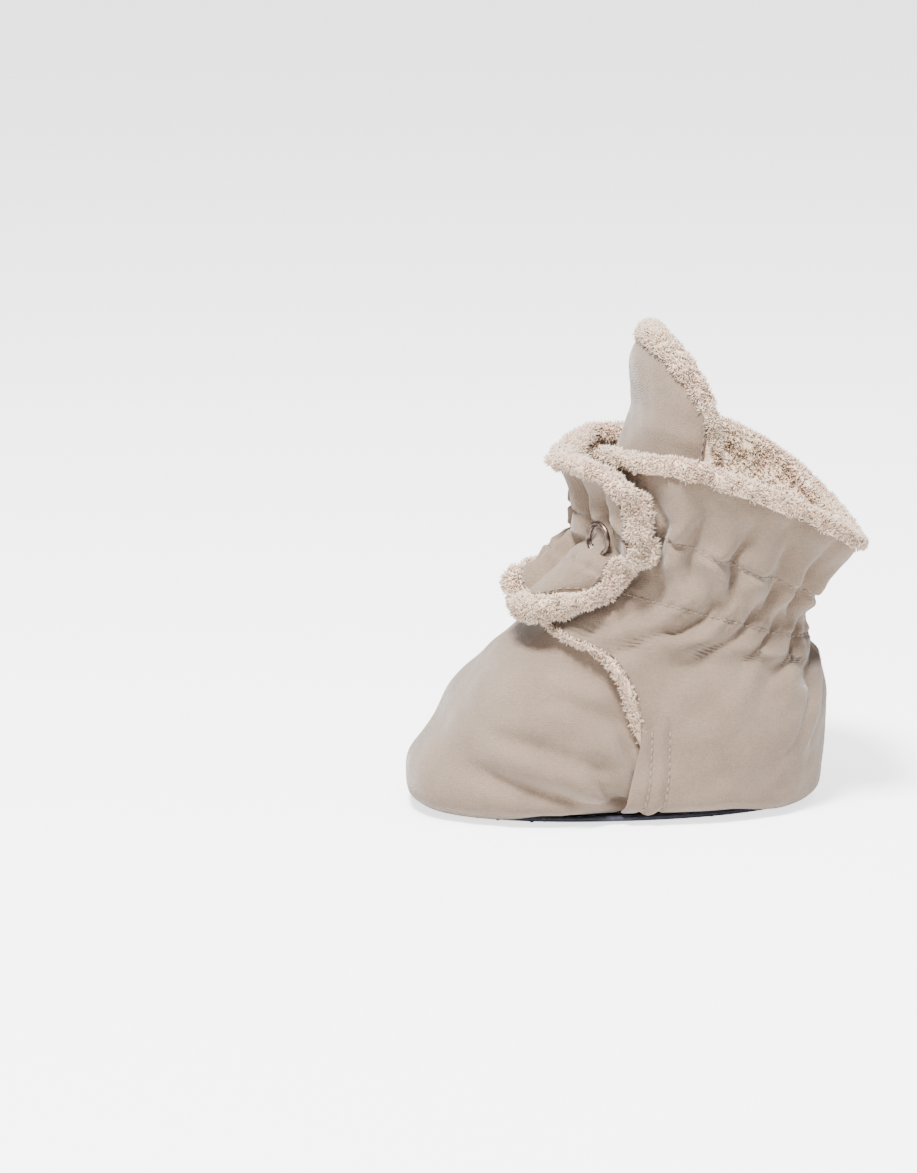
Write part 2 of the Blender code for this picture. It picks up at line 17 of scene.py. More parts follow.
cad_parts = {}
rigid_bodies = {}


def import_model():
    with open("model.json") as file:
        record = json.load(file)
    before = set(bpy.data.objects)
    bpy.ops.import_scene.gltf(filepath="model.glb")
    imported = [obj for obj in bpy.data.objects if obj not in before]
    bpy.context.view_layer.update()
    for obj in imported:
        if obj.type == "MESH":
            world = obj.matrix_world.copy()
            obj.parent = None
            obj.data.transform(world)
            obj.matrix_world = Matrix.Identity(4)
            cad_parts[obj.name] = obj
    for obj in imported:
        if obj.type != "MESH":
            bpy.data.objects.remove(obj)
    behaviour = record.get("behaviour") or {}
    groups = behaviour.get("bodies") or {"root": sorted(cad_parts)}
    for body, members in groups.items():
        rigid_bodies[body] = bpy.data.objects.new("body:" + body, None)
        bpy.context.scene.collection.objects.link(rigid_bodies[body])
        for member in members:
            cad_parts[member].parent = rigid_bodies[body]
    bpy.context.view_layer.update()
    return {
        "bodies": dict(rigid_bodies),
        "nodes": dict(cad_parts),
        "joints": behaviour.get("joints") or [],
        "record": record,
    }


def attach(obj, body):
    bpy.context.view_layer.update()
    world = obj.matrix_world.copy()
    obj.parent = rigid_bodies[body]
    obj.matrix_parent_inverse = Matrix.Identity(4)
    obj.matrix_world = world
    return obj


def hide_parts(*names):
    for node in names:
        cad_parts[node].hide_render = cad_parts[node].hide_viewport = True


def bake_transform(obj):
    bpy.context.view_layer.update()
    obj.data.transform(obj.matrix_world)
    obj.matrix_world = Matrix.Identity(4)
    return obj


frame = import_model()
MM = 0.001

def into_scene(name, data):
    """A new object with this data, in the scene."""
    ob = bpy.data.objects.new(name, data)
    bpy.context.scene.collection.objects.link(ob)
    return ob


# %% [markdown]
# ## The camera and the studio
# The camera looks at the snap side from a little above, through a long lens, so the bootie
# shows almost no perspective. The floor is one large pale sheet under soft light. The sheet
# shines only towards the camera, so it looks white without filling in the shadows of the folds.

# %% Camera
def look_from(azimuth, elevation, target, distance, lens):
    """A camera on a long lens, turned to its target."""
    a, e = math.radians(azimuth), math.radians(elevation)
    back = Vector((math.sin(a) * math.cos(e), -math.cos(a) * math.cos(e), math.sin(e)))
    data = bpy.data.cameras.new("studio_camera")
    data.lens = lens
    camera = into_scene("studio_camera", data)
    camera.location = Vector(target) + back * distance
    camera.rotation_euler = back.to_track_quat("Z", "Y").to_euler()
    bpy.context.scene.camera = camera
    return camera


camera = look_from(173.0, 12.0, (0.0470, 0.0, 0.0585), 1.15, 134.0)
print("camera at", tuple(round(c, 3) for c in camera.location))

# %% Floor, sky and lights
def plain_material(name, colour, roughness):
    mat = bpy.data.materials.new(name)
    mat.use_nodes = True
    node = mat.node_tree.nodes["Principled BSDF"]
    node.inputs["Base Color"].default_value = (*colour, 1.0)
    node.inputs["Roughness"].default_value = roughness
    return mat


def studio():
    bm = bmesh.new()
    bmesh.ops.create_grid(bm, x_segments=1, y_segments=1, size=6.0)
    mesh = bpy.data.meshes.new("studio_floor")
    bm.to_mesh(mesh)
    bm.free()
    paper = plain_material("studio_paper", (0.88, 0.88, 0.88), 0.9)
    glow = paper.node_tree.nodes["Principled BSDF"].inputs
    glow["Emission Color"].default_value = (1.0, 1.0, 1.0, 1.0)
    sight = paper.node_tree.nodes.new("ShaderNodeLightPath")
    shine = paper.node_tree.nodes.new("ShaderNodeMath")
    shine.operation = "MULTIPLY"
    shine.inputs[1].default_value = 2.1
    paper.node_tree.links.new(sight.outputs["Is Camera Ray"], shine.inputs[0])
    paper.node_tree.links.new(shine.outputs["Value"], glow["Emission Strength"])
    mesh.materials.append(paper)
    into_scene("studio_floor", mesh)
    world = bpy.data.worlds.new("studio_sky")
    world.use_nodes = True
    sky = world.node_tree.nodes["Background"]
    sky.inputs["Color"].default_value = (1.0, 1.0, 1.0, 1.0)
    sky.inputs["Strength"].default_value = 0.62
    bpy.context.scene.world = world


def soft_light(name, place, target, size, power):
    data = bpy.data.lights.new(name, "AREA")
    data.shape = "DISK"
    data.size = size
    data.energy = power
    lamp = into_scene(name, data)
    lamp.location = place
    lamp.rotation_euler = (Vector(place) - Vector(target)).to_track_quat("Z", "Y").to_euler()


studio()
soft_light("key_light", (0.30, 0.48, 1.20), (0.0, 0.0, 0.05), 0.32, 66.0)
soft_light("top_light", (-0.2, 0.1, 1.3), (0.0, 0.0, 0.05), 1.0, 16.0)

# %% [markdown]
# ## The three cloth surfaces
# The outer of a soft shoe is a few flat panels pulled into a foot's shape. Here each panel is a
# fine grid bent onto a smooth surface: the ankle surface carries the heel panel, its collar and
# the flap, the toe surface carries the toe panel, and the tongue surface carries the tongue.
# A surface is a stack of level loops, so a formula gives any point on it.

# %% Tables of the surfaces, in millimetres
# back x, back z, widest x, widest z, front x, front z, half width, roundness
ankle_rows = np.array([
    (-46.5, 2.8, -8.0, 2.8, 58.0, 2.8, 29.5, 2.6),
    (-50.6, 6.0, -8.0, 5.9, 60.0, 5.9, 33.3, 2.6),
    (-52.4, 14.5, -8.0, 15.0, 58.0, 15.0, 34.9, 2.6),
    (-52.8, 24.0, -9.0, 26.0, 52.0, 26.0, 35.2, 2.6),
    (-51.6, 32.0, -10.0, 37.0, 45.0, 38.0, 34.2, 2.5),
    (-49.2, 38.5, -12.0, 46.0, 37.0, 48.5, 32.2, 2.4),
    (-46.0, 43.5, -13.0, 53.5, 22.0, 60.0, 30.2, 2.2),
    (-44.4, 49.0, -14.0, 61.0, 11.2, 69.0, 29.4, 2.0),
    (-46.0, 54.5, -15.0, 68.0, 9.4, 77.0, 29.8, 2.0),
    (-51.5, 59.0, -16.0, 76.0, 9.8, 84.0, 32.4, 2.0),
    (-57.4, 64.0, -17.0, 84.5, 10.8, 89.5, 35.8, 2.0),
    (-60.4, 69.5, -18.0, 91.5, 11.6, 93.5, 38.0, 2.0),
    (-61.0, 74.0, -18.0, 95.5, 12.2, 96.5, 38.6, 2.0),
])
# side z, front x, front z, half width
toe_rows = np.array([
    (2.8, 57.4, 2.8, 28.6), (6.0, 60.5, 6.2, 32.6), (14.5, 59.8, 13.0, 33.7),
    (25.0, 54.6, 22.5, 33.6), (34.5, 46.6, 31.6, 32.4), (43.0, 37.4, 40.6, 30.2),
    (49.5, 27.4, 49.4, 27.6), (53.0, 18.0, 56.8, 25.0), (55.5, 10.8, 62.0, 22.6),
])
# height, x of the tongue's middle
tongue_line = np.array([
    (64.6, 9.6), (69.0, 4.2), (75.0, 3.0), (83.0, 3.6), (91.0, 5.0),
    (102.0, 3.8), (113.0, 1.2), (121.0, -2.0), (127.0, -5.2),
])
AXIS_X, AXIS_Y = 4.2, -27.8      # where the flap is sewn on
print("levels up the ankle:", len(ankle_rows))


def smooth(a, b, x):
    """0 below a, 1 above b, with soft ends."""
    t = np.clip((np.asarray(x, float) - a) / (b - a), 0.0, 1.0)
    return t * t * (3 - 2 * t)


def spline(rows, v):
    """Rows of a table at levels v, on smooth curves."""
    v = np.clip(np.atleast_1d(np.asarray(v, float)), 0, len(rows) - 1)
    i = np.minimum(v.astype(int), len(rows) - 2)
    t = (v - i)[:, None]
    a, b = rows[np.maximum(i - 1, 0)], rows[i]
    c, d = rows[i + 1], rows[np.minimum(i + 2, len(rows) - 1)]
    m0, m1 = (c - a) * 0.5, (d - b) * 0.5
    return ((2 * t**3 - 3 * t**2 + 1) * b + (t**3 - 2 * t**2 + t) * m0
            + (3 * t**2 - 2 * t**3) * c + (t**3 - t**2) * m1)


def running_length(points):
    """Length along a line of points, 0 at its first."""
    return np.concatenate([[0.0], np.cumsum(np.linalg.norm(np.diff(points, axis=0), axis=1))])


def unit_of(v):
    return v / np.maximum(np.linalg.norm(v, axis=-1, keepdims=True), 1e-9)


# %% [markdown]
# ### The ankle surface
# Each loop is an egg, wide at the heel and tighter in front. Measuring along the loop lets the
# panels be laid round it in real millimetres, as a sewer would measure them.

# %% Loops of the ankle surface
TURNS = np.radians(np.linspace(-180.0, 180.0, 721))


def ankle_loop(v):
    """Points of one loop and its running length, 0 at the middle of the front."""
    bx, bz, wx, wz, fx, fz, hw, n = spline(ankle_rows, v)[0]
    c, s = np.cos(TURNS), np.sin(TURNS)
    far = (TURNS < 0) & (c > 0)
    near = (TURNS >= 0) & (c > 0)
    flare = smooth(8.6, 12.0, v)
    p = np.where(far, n + 2.0 * smooth(4.5, 7.0, v), np.where(near, n, 2.3 + 0.7 * flare))
    x = wx + np.sign(c) * np.where(c > 0, fx - wx, wx - bx) * np.abs(c) ** (2 / p)
    y = np.sign(s) * hw * np.abs(s) ** (2 / p)
    z = (bz * (x - wx) * (x - fx) / ((bx - wx) * (bx - fx))
         + wz * (x - bx) * (x - fx) / ((wx - bx) * (wx - fx))
         + fz * (x - bx) * (x - wx) / ((fx - bx) * (fx - wx)))
    z = z + flare * smooth(6.0, 30.0, -x) * np.where(y < 0, 5.0, 2.6) * (-y / hw)
    pinch = (1 - smooth(1.5, 15.0, np.abs(x - AXIS_X))) * smooth(5.0, 6.5, v)
    y = y + np.where((y < AXIS_Y) & (x > -12), AXIS_Y - y, 0.0) * pinch
    pts = np.stack([x, y, z], axis=1)
    run = running_length(pts)
    return pts, run - run[360]


def at_length(pts, run, s):
    """Points at lengths s along a loop; a length may run on past the heel."""
    s = (np.asarray(s) - run[0]) % (run[-1] - run[0]) + run[0]
    return np.stack([np.interp(s, run, pts[:, k]) for k in range(3)], axis=-1)


def length_at_x(pts, run, x, side):
    half = slice(360, 541) if side > 0 else slice(180, 361)
    order = np.argsort(pts[half, 0])
    return float(np.interp(x, pts[half, 0][order], run[half][order]))


def length_at_y(pts, run, y):
    return float(np.interp(y, pts[360:541, 1], run[360:541]))


def ankle_grid(levels, lengths_at):
    """Surface points [level, column], and each point's place round its loop in even millimetres."""
    rows, places = [], []
    for v in levels:
        pts, run = ankle_loop(v)
        lengths = lengths_at(v, pts, run)
        rows.append(at_length(pts, run, lengths))
        places.append(lengths / (run[-1] - run[0]) * ROUND)
    return np.array(rows), np.array(places)


ROUND = 190.0                     # one turn round the ankle, as the pleats count it
print("ankle loop at the snap:", round(float(np.ptp(ankle_loop(8.0)[1])), 1), "mm round")

# %% [markdown]
# ### The toe and tongue surfaces
# The toe panel is laid on its own stack of open loops, which duck inside the heel panel where
# the two are sewn. The tongue is part of a tall upright cylinder whose middle line leans back.

# %% The toe surface
def sunk_ankle(depth=4.5):
    """The ankle surface moved in by the thickness of the heel panel, as rows of points."""
    levels = np.linspace(0.0, 8.0, 49)
    grid, _ = ankle_grid(levels, lambda v, pts, run: run[np.linspace(360, 562, 70).astype(int)])
    return (grid - normals_of(grid) * depth)[:, 1:]


def toe_grid(levels, us):
    """Toe surface points at levels and at shares us, from -1 on the far side to 1 by the snap."""
    sunk = sunk_ankle()
    grid = []
    for side_z, fx, fz, hw in spline(toe_rows, levels):
        a = np.radians(np.linspace(0.0, 90.0, 91))
        x = -8.0 + (fx + 8.0) * np.maximum(np.cos(a), 0.0) ** 0.8
        z = side_z + (fz - side_z) * np.maximum((x + 8.0) / (fx + 8.0), 0.0) ** 1.3
        own = hw * np.maximum(1 - np.maximum((x - 6.0) / (fx - 6.0), 0.0) ** 2.5, 0.0) ** 0.4
        y = []
        for xi, zi, half in zip(x, z, own):
            clear_to = 7.0 + 20.0 * smooth(34.0, 48.0, zi)
            weight = smooth(clear_to, clear_to + 14.0, xi)
            if weight < 1.0:
                widths = [[np.interp(xi, r[::-1, 0], r[::-1, k]) for k in (1, 2)]
                          for r in sunk if xi <= r[0, 0]]
                if len(widths) > 1:
                    room = np.interp(zi, [w[1] for w in widths], [w[0] for w in widths])
                    kept = min(half, room)
                    half = kept + (half - kept) * weight
            y.append(float(half))
        side = np.stack([x, y, z], axis=1)
        side[0, 1] = 0.0
        run = running_length(side)
        p = np.stack([np.interp(np.abs(us), run / run[-1], side[:, k]) for k in range(3)], axis=1)
        p[:, 1] *= np.sign(us)
        grid.append(p)
    return np.array(grid)


# %% The tongue surface
def tongue_grid(shares, angles, low, high):
    """Tongue points at shares up it and at angles round it, in degrees."""
    a = np.minimum(np.abs(angles) / 80.0, 1.0)
    bottom = 64.9 + low + 24.0 * a ** 2.2
    top = 92.0 + (high - 92.0) * np.sqrt(np.maximum(1 - a * a, 0.0))
    z = bottom + (top - bottom) * np.asarray(shares)[:, None]
    turn = np.radians(angles)[None, :]
    radius = 27.0 - 1.6 * smooth(108.0, 127.0, z)
    x = np.interp(z, tongue_line[:, 0], tongue_line[:, 1]) - radius * (1 - np.cos(turn))
    return np.stack([x, radius * np.sin(turn), z], axis=-1)


def normals_of(grid):
    """Outward normals of a grid of points [level, column]."""
    return unit_of(np.cross(np.gradient(grid, axis=1), np.gradient(grid, axis=0)))


toe_sample = toe_grid(np.linspace(0, 8, 5), np.linspace(-1, 1, 9))
print("toe reaches x", round(float(toe_sample[..., 0].max()), 1), "mm")

# %% [markdown]
# ## How a cloth panel is made
# A real panel has a cut edge, a right side and a wrong side. Here it is one flat grid with a
# second skin extruded behind it, so it is a closed body from the start; both skins are then
# laid on the surface at their own heights. Where the two heights run together towards a border,
# the border turns into a smooth round roll, thin for woven cloth and fat for fleece.

# %% Smooth noise and pleats
def soft_noise(points, size, seed):
    """Smooth lumps of about one size in millimetres, mostly between -1 and 1."""
    rng = np.random.default_rng(seed)
    total = np.zeros(points.shape[:-1])
    for _ in range(14):
        way = rng.normal(size=3)
        way *= math.tau / (size * rng.uniform(0.7, 1.6)) / np.linalg.norm(way)
        total += np.sin(points @ way + rng.uniform(0.0, math.tau))
    return total / 4.2


def pleats(x, seed, narrow, wide, sharp=0.75, away=0.0, fades=(9.0, 30.0)):
    """Round ridges with sharp valleys between them, of uneven widths, all the way round. Each
    ridge dies out at its own rate with the distance away from its row of stitches."""
    rng = np.random.default_rng(seed)
    widths = rng.uniform(narrow, wide, int(ROUND / (narrow + wide) * 2))
    valleys = np.concatenate([[0.0], np.cumsum(widths)]) * (ROUND / widths.sum())
    tall = rng.uniform(0.55, 1.0, len(widths)) * np.minimum(1.0, 2.2 * widths / (narrow + wide))
    fade = rng.uniform(*fades, len(widths))
    x = np.mod(x, ROUND)
    i = np.clip(np.searchsorted(valleys, x, side="right") - 1, 0, len(widths) - 1)
    t = (x - valleys[i]) / (valleys[i + 1] - valleys[i])
    t = np.clip(t, 0.0, 1.0) ** 1.15
    return tall[i] * np.sin(np.pi * t) ** sharp * np.exp(-away / fade[i])


# %% Edge distances and skins
def lengths_up(grid):
    """Length up each column from the first level, in millimetres."""
    steps = np.linalg.norm(np.diff(grid, axis=0), axis=-1)
    return np.concatenate([np.zeros((1, grid.shape[1])), np.cumsum(steps, axis=0)])


def lengths_along(grid):
    """Length along each level from the first column, in millimetres."""
    steps = np.linalg.norm(np.diff(grid, axis=1), axis=-1)
    return np.concatenate([np.zeros((grid.shape[0], 1)), np.cumsum(steps, axis=1)], axis=1)


def border_roll(grid, bottom=0.0, top=0.0, first=0.0, last=0.0):
    """1 inside the panel, falling to 0 round each border that has a roll radius."""
    up, along = lengths_up(grid), lengths_along(grid)
    share = np.ones(grid.shape[:2])
    for dist, radius in ((up, bottom), (up[-1:] - up, top),
                         (along, first), (along[:, -1:] - along, last)):
        if np.any(np.asarray(radius) > 0):
            t = np.clip(dist / np.maximum(radius, 0.001), 0.0, 1.0)
            rolled = np.sqrt(np.clip(1 - (1 - t) ** 2, 0.0, 1.0))
            share = share * np.where(np.asarray(radius) > 0.05, rolled, 1.0)
    return share


def spaced(start, end, count, round_start=0.0, round_end=0.0):
    """Even shares from start to end with extra ones crowded into the rolled ends."""
    t = np.linspace(start, end, count)
    close = np.array([0.06, 0.16, 0.32, 0.55, 0.8])
    extra = []
    if round_start:
        extra.append(start + close * round_start)
    if round_end:
        extra.append(end - close * round_end)
    return np.unique(np.round(np.concatenate([t, *extra]), 6))


pieces_made = []


def lay_cloth(name, body, mat, grid, outer, inner, roll, replaces=()):
    """A closed two-skin panel with its skins at heights outer and inner over the surface."""
    rows, columns = grid.shape[:2]
    normal = normals_of(grid)
    for _ in range(rows // 3):
        normal[1:-1] = (normal[:-2] + 2 * normal[1:-1] + normal[2:]) / 4
    normal /= np.linalg.norm(normal, axis=-1, keepdims=True)
    middle = (outer + inner) / 2
    skins = [grid + normal * (middle + (h - middle) * roll)[..., None] for h in (outer, inner)]
    bm = bmesh.new()
    bmesh.ops.create_grid(bm, x_segments=columns - 1, y_segments=rows - 1, size=0.5)
    made = bmesh.ops.extrude_face_region(bm, geom=list(bm.faces), use_keep_orig=True)
    back = [g for g in made["geom"] if isinstance(g, bmesh.types.BMVert)]
    bmesh.ops.translate(bm, verts=back, vec=(0.0, 0.0, -1.0))
    bmesh.ops.recalc_face_normals(bm, faces=bm.faces)
    flat = bm.loops.layers.uv.new("cloth")
    up, along = lengths_up(grid), lengths_along(grid)
    for vert in bm.verts:
        j = round((vert.co.x + 0.5) * (columns - 1))
        i = round((vert.co.y + 0.5) * (rows - 1))
        spot = (along[i, j] * MM, up[i, j] * MM)
        for loop in vert.link_loops:
            loop[flat].uv = spot
        vert.co = skins[0 if vert.co.z > -0.5 else 1][i, j] * MM
    bmesh.ops.remove_doubles(bm, verts=bm.verts, dist=0.000012)
    ob = settle(name, body, mat, bm, replaces)
    # painted shade: every panel's tip value is 0.75, so the fleece panels take a quarter of the
    # darker root colour, as shade among the tufts
    painted_shade_layer = ob.data.attributes.new("tip", "FLOAT", "POINT")
    painted_shade_layer.data.foreach_set("value", [0.75] * len(ob.data.vertices))
    return ob, skins


def settle(name, body, mat, bm, replaces=(), smooth_faces=True):
    """Turns a bmesh into a finished piece that rides on its body."""
    mesh = bpy.data.meshes.new(name)
    bm.to_mesh(mesh)
    bm.free()
    mesh.polygons.foreach_set("use_smooth", [smooth_faces] * len(mesh.polygons))
    mesh.materials.append(mat)
    ob = into_scene(name, mesh)
    if body:
        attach(ob, body)
    if replaces:
        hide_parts(*replaces)
    pieces_made.append(ob)
    print(name, len(mesh.polygons), "faces")
    return ob


print("cloth tools ready")

# %% [markdown]
# ## Materials
# The outer is a brushed softshell: a very fine weave under a soft nap, in two close greige
# yarns. The fleece is cream, a little pink in places, and painted darker down between the tufts
# as shade.

# %% Node helpers
def new_material(name, roughness, **values):
    """A material and its shader, with constants set straight on the shader's sockets."""
    mat = bpy.data.materials.new(name)
    mat.use_nodes = True
    shader = mat.node_tree.nodes["Principled BSDF"]
    shader.inputs["Roughness"].default_value = roughness
    for socket, value in values.items():
        shader.inputs[socket.replace("_", " ")].default_value = value
    return mat, shader


def add_node(mat, kind, **values):
    """A node with its input values set by socket name."""
    node = mat.node_tree.nodes.new("ShaderNode" + kind)
    for socket, value in values.items():
        node.inputs[socket.replace("_", " ")].default_value = value
    return node


def noise(mat, where, scale, detail=3.0, roughness=0.55):
    node = add_node(mat, "TexNoise", Scale=scale, Detail=detail, Roughness=roughness)
    mat.node_tree.links.new(where, node.inputs["Vector"])
    return node.outputs["Fac"]


def ramp(mat, fac, *stops):
    """A colour ramp through (place, colour) stops."""
    node = mat.node_tree.nodes.new("ShaderNodeValToRGB")
    while len(node.color_ramp.elements) < len(stops):
        node.color_ramp.elements.new(0.5)
    for element, (place, colour) in zip(node.color_ramp.elements, stops):
        element.position = place
        element.color = (*colour, 1.0)
    mat.node_tree.links.new(fac, node.inputs["Fac"])
    return node.outputs["Color"]


def mix_colours(mat, fac, a, b, blend="MIX"):
    node = mat.node_tree.nodes.new("ShaderNodeMix")
    node.data_type = "RGBA"
    node.blend_type = blend
    for value, socket in ((fac, 0), (a, 6), (b, 7)):
        if isinstance(value, (int, float, tuple)):
            node.inputs[socket].default_value = value
        else:
            mat.node_tree.links.new(value, node.inputs[socket])
    return node.outputs[2]


def math_node(mat, operation, a, b=0.0):
    node = mat.node_tree.nodes.new("ShaderNodeMath")
    node.operation = operation
    for value, socket in ((a, 0), (b, 1)):
        if isinstance(value, (int, float)):
            node.inputs[socket].default_value = value
        else:
            mat.node_tree.links.new(value, node.inputs[socket])
    return node.outputs["Value"]


def bump(mat, shader, height, distance, strength=1.0):
    node = add_node(mat, "Bump", Strength=strength, Distance=distance)
    mat.node_tree.links.new(height, node.inputs["Height"])
    mat.node_tree.links.new(node.outputs["Normal"], shader.inputs["Normal"])


def speckled(name, roughness, speckle, stops, relief, depth, **values):
    """A finish whose colour follows one noise and whose relief follows another."""
    mat, shader = new_material(name, roughness, **values)
    where = add_node(mat, "TexCoord").outputs["Object"]
    tone = ramp(mat, noise(mat, where, *speckle), *stops)
    mat.node_tree.links.new(tone, shader.inputs["Base Color"])
    bump(mat, shader, noise(mat, where, *relief), depth)
    return mat


# %% Brushed woven outer
def woven_outer_material():
    mat, shader = new_material("brushed_softshell", 0.86, Sheen_Weight=0.35, Sheen_Roughness=0.45,
                               Specular_IOR_Level=0.25)
    link = mat.node_tree.links.new
    where = add_node(mat, "TexCoord").outputs["Object"]
    uv = mat.node_tree.nodes.new("ShaderNodeUVMap")
    uv.uv_map = "cloth"
    yarns = []
    for axis in ("X", "Y"):
        wave = add_node(mat, "TexWave", Scale=470.0, Distortion=2.4, Detail=2.0)
        wave.bands_direction = axis
        link(uv.outputs["UV"], wave.inputs["Vector"])
        yarns.append(wave.outputs["Fac"])
    weave = math_node(mat, "MULTIPLY", yarns[0], yarns[1])
    nap = noise(mat, where, 1500.0, 4.0, 0.7)
    patches = noise(mat, where, 90.0, 4.0)
    tone = ramp(mat, patches, (0.30, (0.205, 0.146, 0.104)), (0.72, (0.250, 0.182, 0.132)))
    fibres = ramp(mat, nap, (0.32, (0.80, 0.79, 0.78)), (0.68, (1.0, 1.0, 1.0)))
    colour = mix_colours(mat, 1.0, tone, fibres, "MULTIPLY")
    threads = ramp(mat, weave, (0.0, (0.95, 0.945, 0.94)), (0.7, (1.0, 1.0, 1.0)))
    link(mix_colours(mat, 1.0, colour, threads, "MULTIPLY"), shader.inputs["Base Color"])
    height = math_node(mat, "ADD", math_node(mat, "MULTIPLY", weave, 0.3), nap)
    bump(mat, shader, height, 0.00022)
    return mat


woven = woven_outer_material()
print("made", woven.name)

# %% Plush fleece
def fleece_material(name, painted_root_shade, high, blush):
    """Plush colour by patches, with painted shade: tufts dark at the root and pale at the tip."""
    mat, shader = new_material(name, 0.93, Sheen_Weight=0.45, Sheen_Roughness=0.5,
                               Specular_IOR_Level=0.2)
    where = add_node(mat, "TexCoord").outputs["Object"]
    tip = mat.node_tree.nodes.new("ShaderNodeAttribute")
    tip.attribute_name = "tip"
    patches = noise(mat, where, 70.0, 3.0)
    curls = noise(mat, where, 900.0, 4.0, 0.65)
    tone = ramp(mat, patches, (0.35, high), (0.62, blush))
    shade = ramp(mat, curls, (0.30, (0.80, 0.77, 0.73)), (0.66, (1.0, 1.0, 1.0)))
    colour = mix_colours(mat, 1.0, tone, shade, "MULTIPLY")
    # painted shade: the root colour is the plush colour darkened, as shade down among the tufts
    root = mix_colours(mat, 1.0, colour, (*painted_root_shade, 1.0), "MULTIPLY")
    mat.node_tree.links.new(mix_colours(mat, tip.outputs["Fac"], root, colour),
                            shader.inputs["Base Color"])
    bump(mat, shader, curls, 0.0005)
    return mat


# the first colour is painted shade for the roots of the tufts; the other two are the plush's own
# cream and pink
fleece = fleece_material("cream_plush", (0.62, 0.50, 0.38), (0.80, 0.65, 0.50), (0.79, 0.59, 0.46))
print("made", fleece.name)

# %% [markdown]
# ## The heel panel
# One woven panel starts under the flap, goes round the heel and ends at the flap's seam. Elastic
# is sewn on in two rows round the ankle, so the cloth between and beside the rows is crowded
# into upright pleats: sharp at the stitching, and spreading into long soft folds away from it.

# %% Uppers bulge down over the sole
def over_sole(grid):
    """At toe and heel the uppers hang down past the sole's edge."""
    grid = grid.copy()
    ends = smooth(22.0, 38.0, np.abs(grid[..., 0] - 2.0))
    grid[..., 2] -= 1.75 * ends * (1 - smooth(3.0, 13.0, grid[..., 2]))
    return grid


def footed(grid):
    """The fleece's foot turns in over the sole, so no gap shows beside the insole."""
    grid = grid.copy()
    near = 1 - smooth(0.0, 8.0, lengths_up(grid))
    grid[..., :2] -= 4.2 * near[..., None] * unit_of(normals_of(grid)[..., :2])
    grid[..., 2] -= 0.5 * near
    return grid


# %% Gathers round the ankle
LOW_ROW, HIGH_ROW = 6.3, 8.4      # levels of the two stitch rows


def gathers(points, place, v, up, calm=0.0):
    """How far pleats, stitch rows and soft folds lift the cloth off the ankle surface."""
    low_row, high_row = (np.array([np.interp(row, v, column) for column in up.T])
                         for row in (LOW_ROW, HIGH_ROW))
    below = np.maximum(low_row - up, 0.0)
    above = np.maximum(up - high_row, 0.0)
    between = np.sin(np.pi * np.clip((up - low_row) / (high_row - low_row), 0.0, 1.0))
    sway = 1.5 * soft_noise(points, 18.0, 11) + 0.6 * soft_noise(points, 7.0, 12)
    share = smooth(-1.0, 1.0, (up - (low_row + high_row) / 2) / 4.5)
    near_row = np.exp(-np.minimum(np.abs(up - low_row), np.abs(up - high_row)) / 3.0)
    fine = pleats(place + 0.6 * sway, 3, 2.8, 5.0) * (1 - share)
    fine = (fine + pleats(place + 0.6 * sway, 5, 2.8, 5.4) * share) * near_row * 1.5
    low_fold = pleats(place + 0.25 * below + sway, 8, 6.5, 13.0, 1.0, below, (9.0, 40.0))
    high_fold = pleats(place + 0.15 * (up - high_row) + sway * 0.9, 9, 6.0, 12.0, 1.0, above,
                       (5.0, 14.0))
    coarse = (low_fold * (1 - share) * (4.2 + 3.4 * smooth(3.0, 15.0, below))
              + high_fold * share * (5.4 + 1.8 * smooth(0.0, 5.0, above)))
    coarse = coarse + 0.7 * between
    groove = np.exp(-((up - low_row) / 1.0) ** 2) + np.exp(-((up - high_row) / 1.0) ** 2)
    soft = 0.55 * soft_noise(points, 34.0, 21) + 0.16 * soft_noise(points, 9.0, 22)
    soft = soft * (0.15 + 0.85 * smooth(0.0, 1.5, v)[:, None])
    at_seam = np.exp(-((points[..., 0] - AXIS_X) / 6.5) ** 2) * smooth(8.0, 16.0, -points[..., 1])
    calm = np.maximum(calm, 0.9 * at_seam)
    lift = (fine + coarse - 2.1) * (1 - 0.42 * groove) * (1 - calm) - 0.4 * groove
    return lift * smooth(0.0, 2.6, v)[:, None] - 0.3 + soft


def between_rows(v):
    """The fleece's outer face lies deeper where the elastic band runs under the woven cloth."""
    return 1.25 + 0.65 * smooth(5.6, 6.2, v) * (1 - smooth(8.5, 9.1, v))


SHELL_TOP, FLEECE_TOP = 10.75, 11.6   # levels where the woven cloth and the fleece end
SHELL, THROUGH = 0.9, 3.45            # woven cloth's thickness, and both layers' together
shell_levels = spaced(0.0, SHELL_TOP, 120, 0.10, 0.16)
print("pleat rows at levels", LOW_ROW, "and", HIGH_ROW)


def dip(edge):
    """The woven cloth sinks a little where it is sewn down, at its edge."""
    return 0.45 * np.exp(-(edge / 1.5) ** 2)


# %% Ends of the heel panel
def heel_run(v, pts, run, us, over=0.0):
    """Lengths round the heel from the snap side, at shares us; over lets fleece show past it."""
    shown = smooth(2.2, 3.4, v)
    over = over * shown - (1.2 * (1 - shown) if over else 0.0)
    low = np.interp(v, [0.0, 1.4, 2.6, 3.2, 3.7, 4.2, 5.0, 5.5],
                    [8.0, 6.4, 3.6, 3.2, 4.2, 6.5, 12.5, 18.0]) + over
    w = smooth(4.7, 6.1, v)
    near = (length_at_x(pts, run, low, 1) * (1 - w)
            + length_at_y(pts, run, 8.0 - over * 0.5) * w)
    far_x = 3.0 + over * (1 - smooth(4.4, 5.0, v)) - 0.6 * smooth(4.6, 5.4, v)
    far = length_at_x(pts, run, far_x, -1)
    return near + (run[-1] - run[0] - (near - far)) * us


